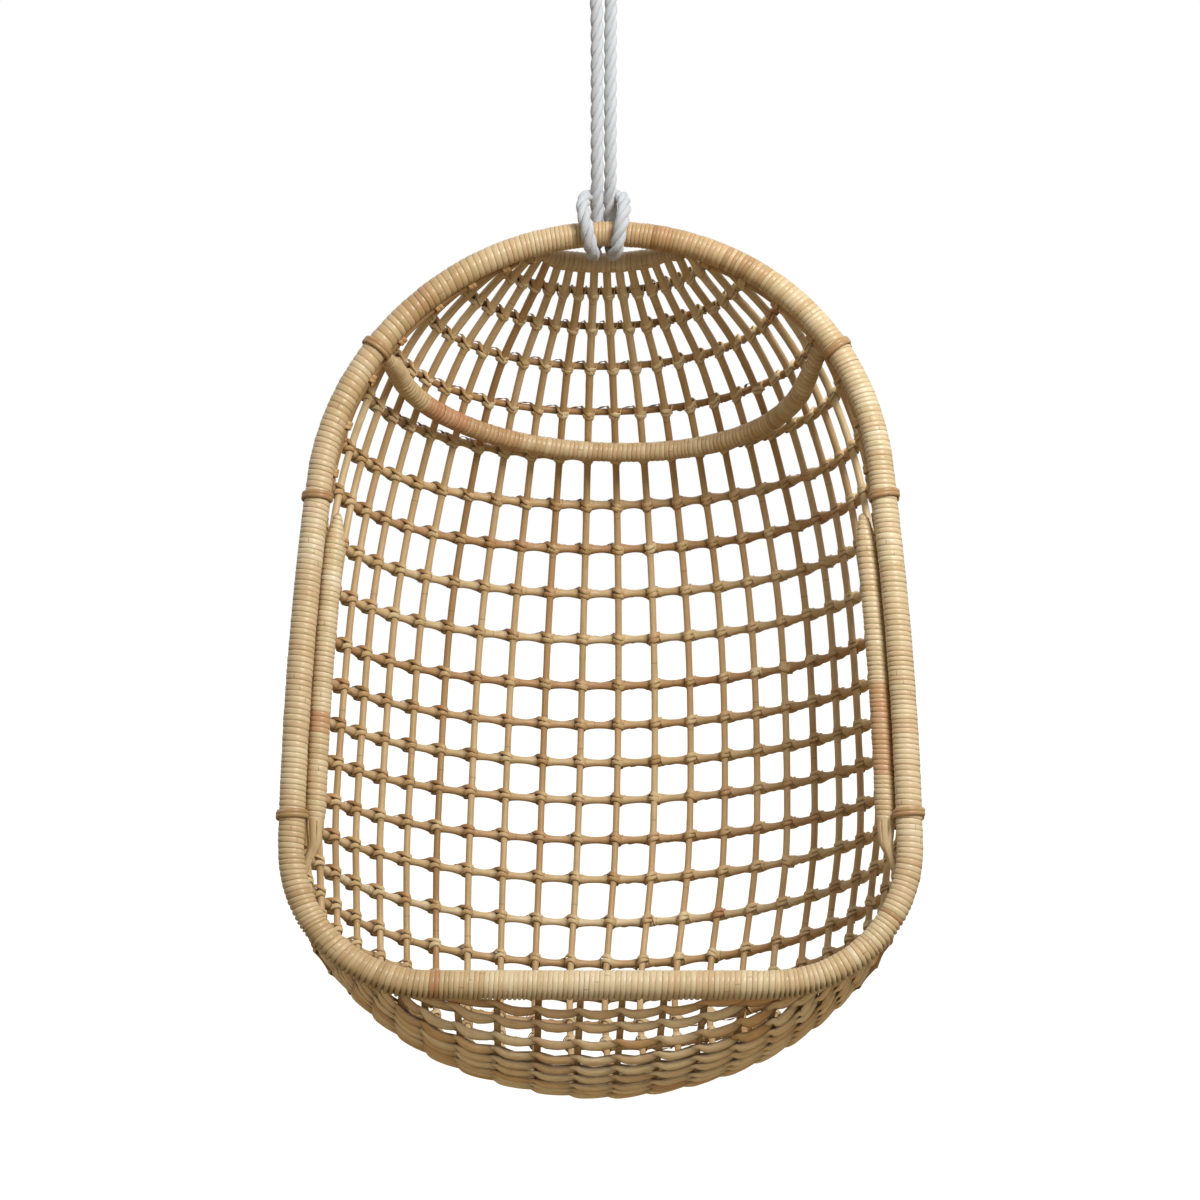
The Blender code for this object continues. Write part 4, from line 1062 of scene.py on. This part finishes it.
def twine(bundle, ends, places, normals, downs):
    """One row of waling from one side of the rim to the other."""
    count = len(places)
    base = np.vstack([ends[:1], places, ends[1:]])
    normal = np.vstack([normals[:1], normals, normals[-1:]])
    down = np.vstack([downs[:1], downs, downs[-1:]])
    t = np.linspace(-1, count, (count + 1) * STEPS_PER_UPRIGHT + 1)
    spread = between_uprights(np.hstack([base, normal, down]), t)
    base, normal, down = spread[:, :3], unit(spread[:, 3:6]), unit(spread[:, 6:])
    ease = np.clip(np.minimum(t + 1, count - t), 0, 1)[:, None]
    closing = graded(CLOSING, np.abs(base[:, 0] - rim_middle[0]))
    row_tone = ROW_TONE + rng.normal(0, 0.05)
    for strand in range(WALING_STRANDS):
        phase = np.mod(t + strand, WALING_STRANDS)
        out = np.interp(phase, CYCLE, CYCLE_OUT)
        out = np.convolve(np.pad(out, 1, mode="edge"), (0.25, 0.5, 0.25), "valid")[:, None]
        drop = np.interp(phase, CYCLE, CYCLE_DOWN)[:, None]
        path = base + ease * (out * normal - closing[:, None] * drop * down)
        turn = np.floor((t + strand) / WALING_STRANDS).astype(int)
        tones = rng.normal(0, 0.12, turn.max() + 1)
        blush = np.clip(rng.normal(0.0, 0.22, turn.max() + 1), 0, 1)
        bundle.strand(path, leaf, up=normal, size=closing * np.interp(phase, CYCLE, CYCLE_SIZE),
                      blush=blush[turn], painted_shade=np.interp(phase, CYCLE, CYCLE_SHADE), edge=LEAF_SHADED_SIDE,
                      tone=row_tone + tones[turn] + wavering(len(t), 0.03, 6))


# %% The seat's rows
# Short rows fill the wide gaps between the first rows where these turn up to the rim.
SHORT_ROWS = ((3.3, 1.0545), (3.71, 1.0595), (4.13, 1.065), (4.56, 1.071))
# How far out from the middle they start, and how far behind an upright their inner ends are tucked.
SHORT_FROM = 0.172
TUCKED_BACK = 6 * MM
seat = Bundle()
for ring, rim_length in TWINED_ROWS:
    twine(seat, *seat_row(ring, rim_length)[:4])
for ring, rim_length in SHORT_ROWS:
    ends, places, normals, downs = seat_row(ring, rim_length)[:4]
    for side in (-1, 1):
        outer = np.nonzero(side * (places[:, 0] - rim_middle[0]) > SHORT_FROM)[0]
        inner = outer[-1] + 1 if side < 0 else outer[0] - 1
        tucked_end = places[inner] - TUCKED_BACK * normals[inner]
        row_ends = np.array([ends[0], tucked_end] if side < 0 else [tucked_end, ends[1]])
        twine(seat, row_ends, places[outer], normals[outer], downs[outer])
    print(f"short rows at {rim_length:.4f} m: {len(outer)} uprights each side")
seat.make("seat_waling", rattan_twining, "basket", "twined_cane", ["seat_weave"])

# %% [markdown]
# ## Edge canes and the ends of the rows
# No nail shows: behind the rim a thin cane follows it round, and every level cane and seat row ends on
# it under a few tight turns of binding. The edge cane is a rod along the rim's own line, moved inward
# and back, and each tie is a short helix round it where a row arrives.

# %% Edge canes
# Rim length from the apex, and how many mm the edge cane lies inward of the rim's line and behind it.
EDGE_PATH = ((0.12, 10, 15), (0.16, 13, 11.5), (0.5, 13.5, 12), (0.58, 6, 18.5), (0.9, 6, 18.5), (1.0, 2, 19),
             (1.16, 0, 19), (1.38, 0, 19))
EDGE_RADIUS, EDGE_TONE = 4.0 * MM, 0.52
EDGE_POINTS_APART = 0.03
lengths, *offsets = np.array(EDGE_PATH).T
edge_lines = []
for side, label in ((-1, "left"), (1, "right")):
    points = []
    for length in np.arange(lengths[0], lengths[-1], EDGE_POINTS_APART):
        place, inward = rim_at(side, length)
        in_by, back_by = (np.interp(length, lengths, offset) for offset in offsets)
        points.append(place + MM * (in_by * inward + back_by * back_of_rim))
    line = smooth(points, POLE_STEP)
    edge = Bundle()
    edge.strand(line, round_section, size=EDGE_RADIUS * (1 + wavering(len(line), 0.03, 12)),
                tone=cane_tone(line, EDGE_TONE))
    edge.make("edge_cane_" + label, rattan_cane, "basket", "round_cane")
    edge_lines.append(line)
print("edge canes:", ", ".join(f"{length_along(line)[-1]:.3f} m" for line in edge_lines))

# %% Side poles' lower ends
# A side pole's winding ends in flat strips, which run on past its tip and lie along the edge cane.
TIP_STRIP = oval(9 * MM, 3.2 * MM, 10)
TIP_TO_EDGE = 45 * MM
STRIP_TURNS = (-1.1, -0.2, 0.7)
for name, line in zip(("left", "right"), edge_lines):
    pole_line = poles["side_pole_" + name][0]
    if pole_line[0][2] < pole_line[-1][2]:
        pole_line = pole_line[::-1]
    tip, ahead = pole_line[-1], unit(pole_line[-1] - pole_line[-2])
    below = line[np.argmin(np.linalg.norm(line - (tip + TIP_TO_EDGE * ahead), axis=1))]
    toward = unit(below - tip)
    side = unit(np.cross(ahead, back_of_rim))
    # Each place on a strip: how far and which way from the pole's tip or the cane below, and how far
    # out, in mm.
    route = ((tip, -38, ahead, 9.5), (tip, -18, ahead, 9.2), (tip, 0, ahead, 7), (tip, 14, toward, 4.5),
             (below, -12, toward, 3.5), (below, 8, toward, 2))
    strips = Bundle()
    for turn in STRIP_TURNS:
        out = unit(-math.cos(turn) * back_of_rim + math.sin(turn) * side)
        path = smooth([place + far * MM * way + high * MM * out for place, far, way, high in route], 3 * MM)
        strips.strand(path, TIP_STRIP, up=out, tone=cane_tone(path, 0.6), size=np.linspace(1, 0.6, len(path)))
    strips.make("side_pole_strips_" + name, rattan_peel, "basket", "binding_cane")

# %% Ties at the ends of the rows
TIE_TURNS, TIE_STEPS = 2, 12
TIE_PITCH = 5.0 * MM
TIE_RADIUS = 6.4 * MM
TIE_STRIP = oval(5.4 * MM, 1.5 * MM, 8)
# A row that ends this close to the edge cane is bound together with it.
CLOSE_TO_EDGE = 8 * MM
ties = Bundle()
ends = [end for centres in wefts.values() for end in centres[[0, -1]]]
ends += [end for ring, rim_length in TWINED_ROWS for end in seat_row(ring, rim_length)[0]]
for end in ends:
    line = edge_lines[0] if end[0] < rim_middle[0] else edge_lines[1]
    at = int(np.clip(np.linalg.norm(line - end, axis=1).argmin(), 2, len(line) - 3))
    ahead = unit(line[at + 2] - line[at - 2])
    inward = unit(np.cross(ahead, back_of_rim))
    turn = np.linspace(0, TIE_TURNS, TIE_STEPS * TIE_TURNS)[:, None]
    angle = 2 * math.pi * (turn + rng.uniform(0, 1))
    middle = (line[at] + end) / 2 if np.linalg.norm(line[at] - end) < CLOSE_TO_EDGE else line[at]
    out = np.cos(angle) * inward + np.sin(angle) * np.cross(ahead, inward)
    path = middle + (turn - TIE_TURNS / 2) * TIE_PITCH * ahead + TIE_RADIUS * out
    ties.strand(path, TIE_STRIP, up=out, tone=0.6 + rng.normal(0, 0.08), blush=max(0.0, rng.normal(0, 0.2)))
ties.make("row_end_ties", rattan_binder, "basket", "binding_cane")
print("ties:", len(ends))

# %% [markdown]
# ## The ceiling fitting
# The plate, the fork, its pin and the hook are mild steel, zinc plated: a cool grey metal with a
# fine, slightly cloudy grain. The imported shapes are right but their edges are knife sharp, so each
# gets a copy with small bevels. The hook is bent from round rod, so it is drawn as a smooth rod
# along the same bend: an eye round the pin, a neck, and a saddle for the rope.

# %% Zinc-plated steel
CLOUD_SIZE, GRAIN_SIZE, GRAIN_DEPTH = 9 * MM, 0.9 * MM, 0.06 * MM
zinc_steel, tree = new_material("mild_steel_zinc_plated")
place = add(tree, "TexCoord").outputs["Object"]
cloud = add(tree, "TexNoise", {"Vector": place, "Scale": 1 / CLOUD_SIZE, "Detail": 4.0}).outputs[0]
fine = add(tree, "TexNoise", {"Vector": place, "Scale": 1 / GRAIN_SIZE, "Detail": 3.0}).outputs[0]
dull = add(tree, "MapRange", zip(RANGE, (cloud, 0.3, 0.7, 0.28, 0.46)))
bump = add(tree, "Bump", {"Height": fine, "Distance": GRAIN_DEPTH, "Strength": 0.5})
shader = add(tree, "BsdfPrincipled", {
    "Base Color": shades(tree, cloud, ("#8E9296", "#A9ADB0", "#BBBEBF", "#C9C8C2")), "Metallic": 1.0,
    "Roughness": dull.outputs[0], "Normal": bump.outputs[0]})
add(tree, "OutputMaterial", {"Surface": shader.outputs[0]})
print("material:", zinc_steel.name)

# %% Eased copies of the plate, the fork and the pin
EDGE_EASE = 0.7 * MM
SHARP_ANGLE, FLAT_ANGLE = math.radians(35), math.radians(1)
for name, body in (("ceiling_plate", "ceiling"), ("swivel_fork", "swivel"), ("hook_pin", "swivel")):
    mesh = frame["nodes"][name].data.copy()
    shape = bmesh.new()
    shape.from_mesh(mesh)
    bmesh.ops.remove_doubles(shape, verts=shape.verts, dist=1e-6)
    bmesh.ops.dissolve_limit(shape, angle_limit=FLAT_ANGLE, verts=shape.verts, edges=shape.edges)
    sharp = [edge for edge in shape.edges
             if len(edge.link_faces) == 2 and edge.calc_face_angle() > SHARP_ANGLE]
    bmesh.ops.bevel(shape, geom=sharp, offset=EDGE_EASE, segments=3, profile=0.5, affect="EDGES",
                    clamp_overlap=True)
    for face in shape.faces:
        face.smooth = True
    shape.to_mesh(mesh)
    shape.free()
    mesh.set_sharp_from_angle(angle=SHARP_ANGLE)
    mesh.materials.clear()
    mesh.materials.append(zinc_steel)
    piece = put(name + "_eased", mesh)
    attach(piece, body)
    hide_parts(name)
    print(f"{piece.name}: {len(sharp)} edges eased by {EDGE_EASE / MM} mm")

# %% The hook
HOOK_ROD, HOOK_STEP = 9.9 * MM, 1.5 * MM
EYE_RADIUS = 10.3 * MM
SADDLE_RADIUS = 19 * MM
# Where the rod runs round the eye and then round the saddle: angles above the level.
EYE_TURNS = np.radians(np.arange(232, -31, -11))
SADDLE_TURNS = np.arange(0.2, -math.pi - math.radians(12), -math.radians(9))
pin_z = joint_at["fore_aft_swing"][2]
saddle_z = joint_at["sideways_swing"][2]
points = [(0, EYE_RADIUS * math.cos(turn), pin_z + EYE_RADIUS * math.sin(turn)) for turn in EYE_TURNS]
points += [(0, SADDLE_RADIUS * math.cos(turn), saddle_z + SADDLE_RADIUS + SADDLE_RADIUS * math.sin(turn))
           for turn in SADDLE_TURNS]
hook = Bundle()
hook.strand(smooth(points, HOOK_STEP), oval(HOOK_ROD, HOOK_ROD, 24))
hook.make("hook_rod", zinc_steel, "hook", "zinc_steel", ["hook"])

# %% [markdown]
# ## Floor, light and the room
# The chair hangs in a plain studio. The floor is a matt paint in a warm grey, far below the chair as it
# would be in a room: what it throws up under the seat is warm, as from a timber floor. It keeps the
# chair's shadow, and a glow that only the camera sees brings it up to white without more light on the
# chair. The light is one soft key, high on the sitter's left, and a white room all round that is dimmer
# below than above, because a real room's ceiling throws back more than its floor. Two or three lamps
# would do the same, but each would leave its own line of shine along every strip.

# %% Floor
FLOOR_Z = -1.95
FLOOR_HALF_WIDTH, FLOOR_FRONT, FLOOR_BACK = 30, -30, 60
floor_mesh = bpy.data.meshes.new("floor")
floor_mesh.from_pydata(
    [(-FLOOR_HALF_WIDTH, FLOOR_FRONT, FLOOR_Z), (FLOOR_HALF_WIDTH, FLOOR_FRONT, FLOOR_Z),
     (FLOOR_HALF_WIDTH, FLOOR_BACK, FLOOR_Z), (-FLOOR_HALF_WIDTH, FLOOR_BACK, FLOOR_Z)],
    [], [(0, 1, 2, 3)])
put("floor", floor_mesh)

# %% Floor paint
FLOOR_GLOW = 0.9
floor_paint, tree = new_material("floor_paint_matt")
camera_ray = add(tree, "LightPath").outputs["Is Camera Ray"]
paint = add(tree, "BsdfPrincipled", {"Base Color": linear("#9C8F74"), "Roughness": 0.9})
glow_strength = add(tree, "Math", {0: camera_ray, 1: FLOOR_GLOW}, operation="MULTIPLY")
glow = add(tree, "Emission", {"Strength": glow_strength.outputs[0]})
both = add(tree, "AddShader", {0: paint.outputs[0], 1: glow.outputs[0]})
add(tree, "OutputMaterial", {"Surface": both.outputs[0]})
floor_mesh.materials.append(floor_paint)
print("floor:", floor_paint.name, "with a glow of", FLOOR_GLOW)

# %% Room
FILL_BELOW, FILL_ABOVE = 0.25, 0.5
studio = bpy.data.worlds.new("studio")
bpy.context.scene.world = studio
studio.use_nodes = True
tree = studio.node_tree
tree.nodes.clear()
ray = add(tree, "LightPath").outputs
seen = add(tree, "Math", {0: ray["Is Camera Ray"], 1: ray["Is Glossy Ray"]}, operation="MAXIMUM")
seen = add(tree, "Math", {0: seen.outputs[0], 1: ray["Is Transmission Ray"]}, operation="MAXIMUM")
height = add(tree, "SeparateXYZ", {0: add(tree, "TexCoord").outputs["Generated"]}).outputs[2]
fill = add(tree, "MapRange", zip(RANGE, (height, -0.5, 0.7, FILL_BELOW, FILL_ABOVE)))
level = add(tree, "Mix", {"Factor": seen.outputs[0], "A": fill.outputs[0], "B": 1.0})
sky = add(tree, "Background", {"Color": (1, 1, 1, 1), "Strength": level.outputs[0]})
add(tree, "OutputWorld", {"Surface": sky.outputs[0]})
print("room: a fill of", FILL_BELOW, "from below to", FILL_ABOVE, "from above")

# %% Lamp
KEY_AZIMUTH, KEY_ELEVATION, KEY_DISTANCE = math.radians(32), math.radians(40), 2.6
KEY_SIZE, KEY_POWER = 0.75, 64
toward_key = np.array((math.sin(KEY_AZIMUTH) * math.cos(KEY_ELEVATION),
                       -math.cos(KEY_AZIMUTH) * math.cos(KEY_ELEVATION), math.sin(KEY_ELEVATION)))
key_light = bpy.data.lights.new("key", "AREA")
key_light.size, key_light.energy = KEY_SIZE, KEY_POWER
key = put("key", key_light)
key.location = rim_middle + KEY_DISTANCE * toward_key
key.rotation_euler = Vector(-toward_key).to_track_quat("-Z", "Y").to_euler()
bpy.context.scene.view_settings.view_transform = "Standard"
print(f"key lamp: {KEY_POWER} W, {KEY_SIZE} m wide, at", key.location.to_tuple(2))
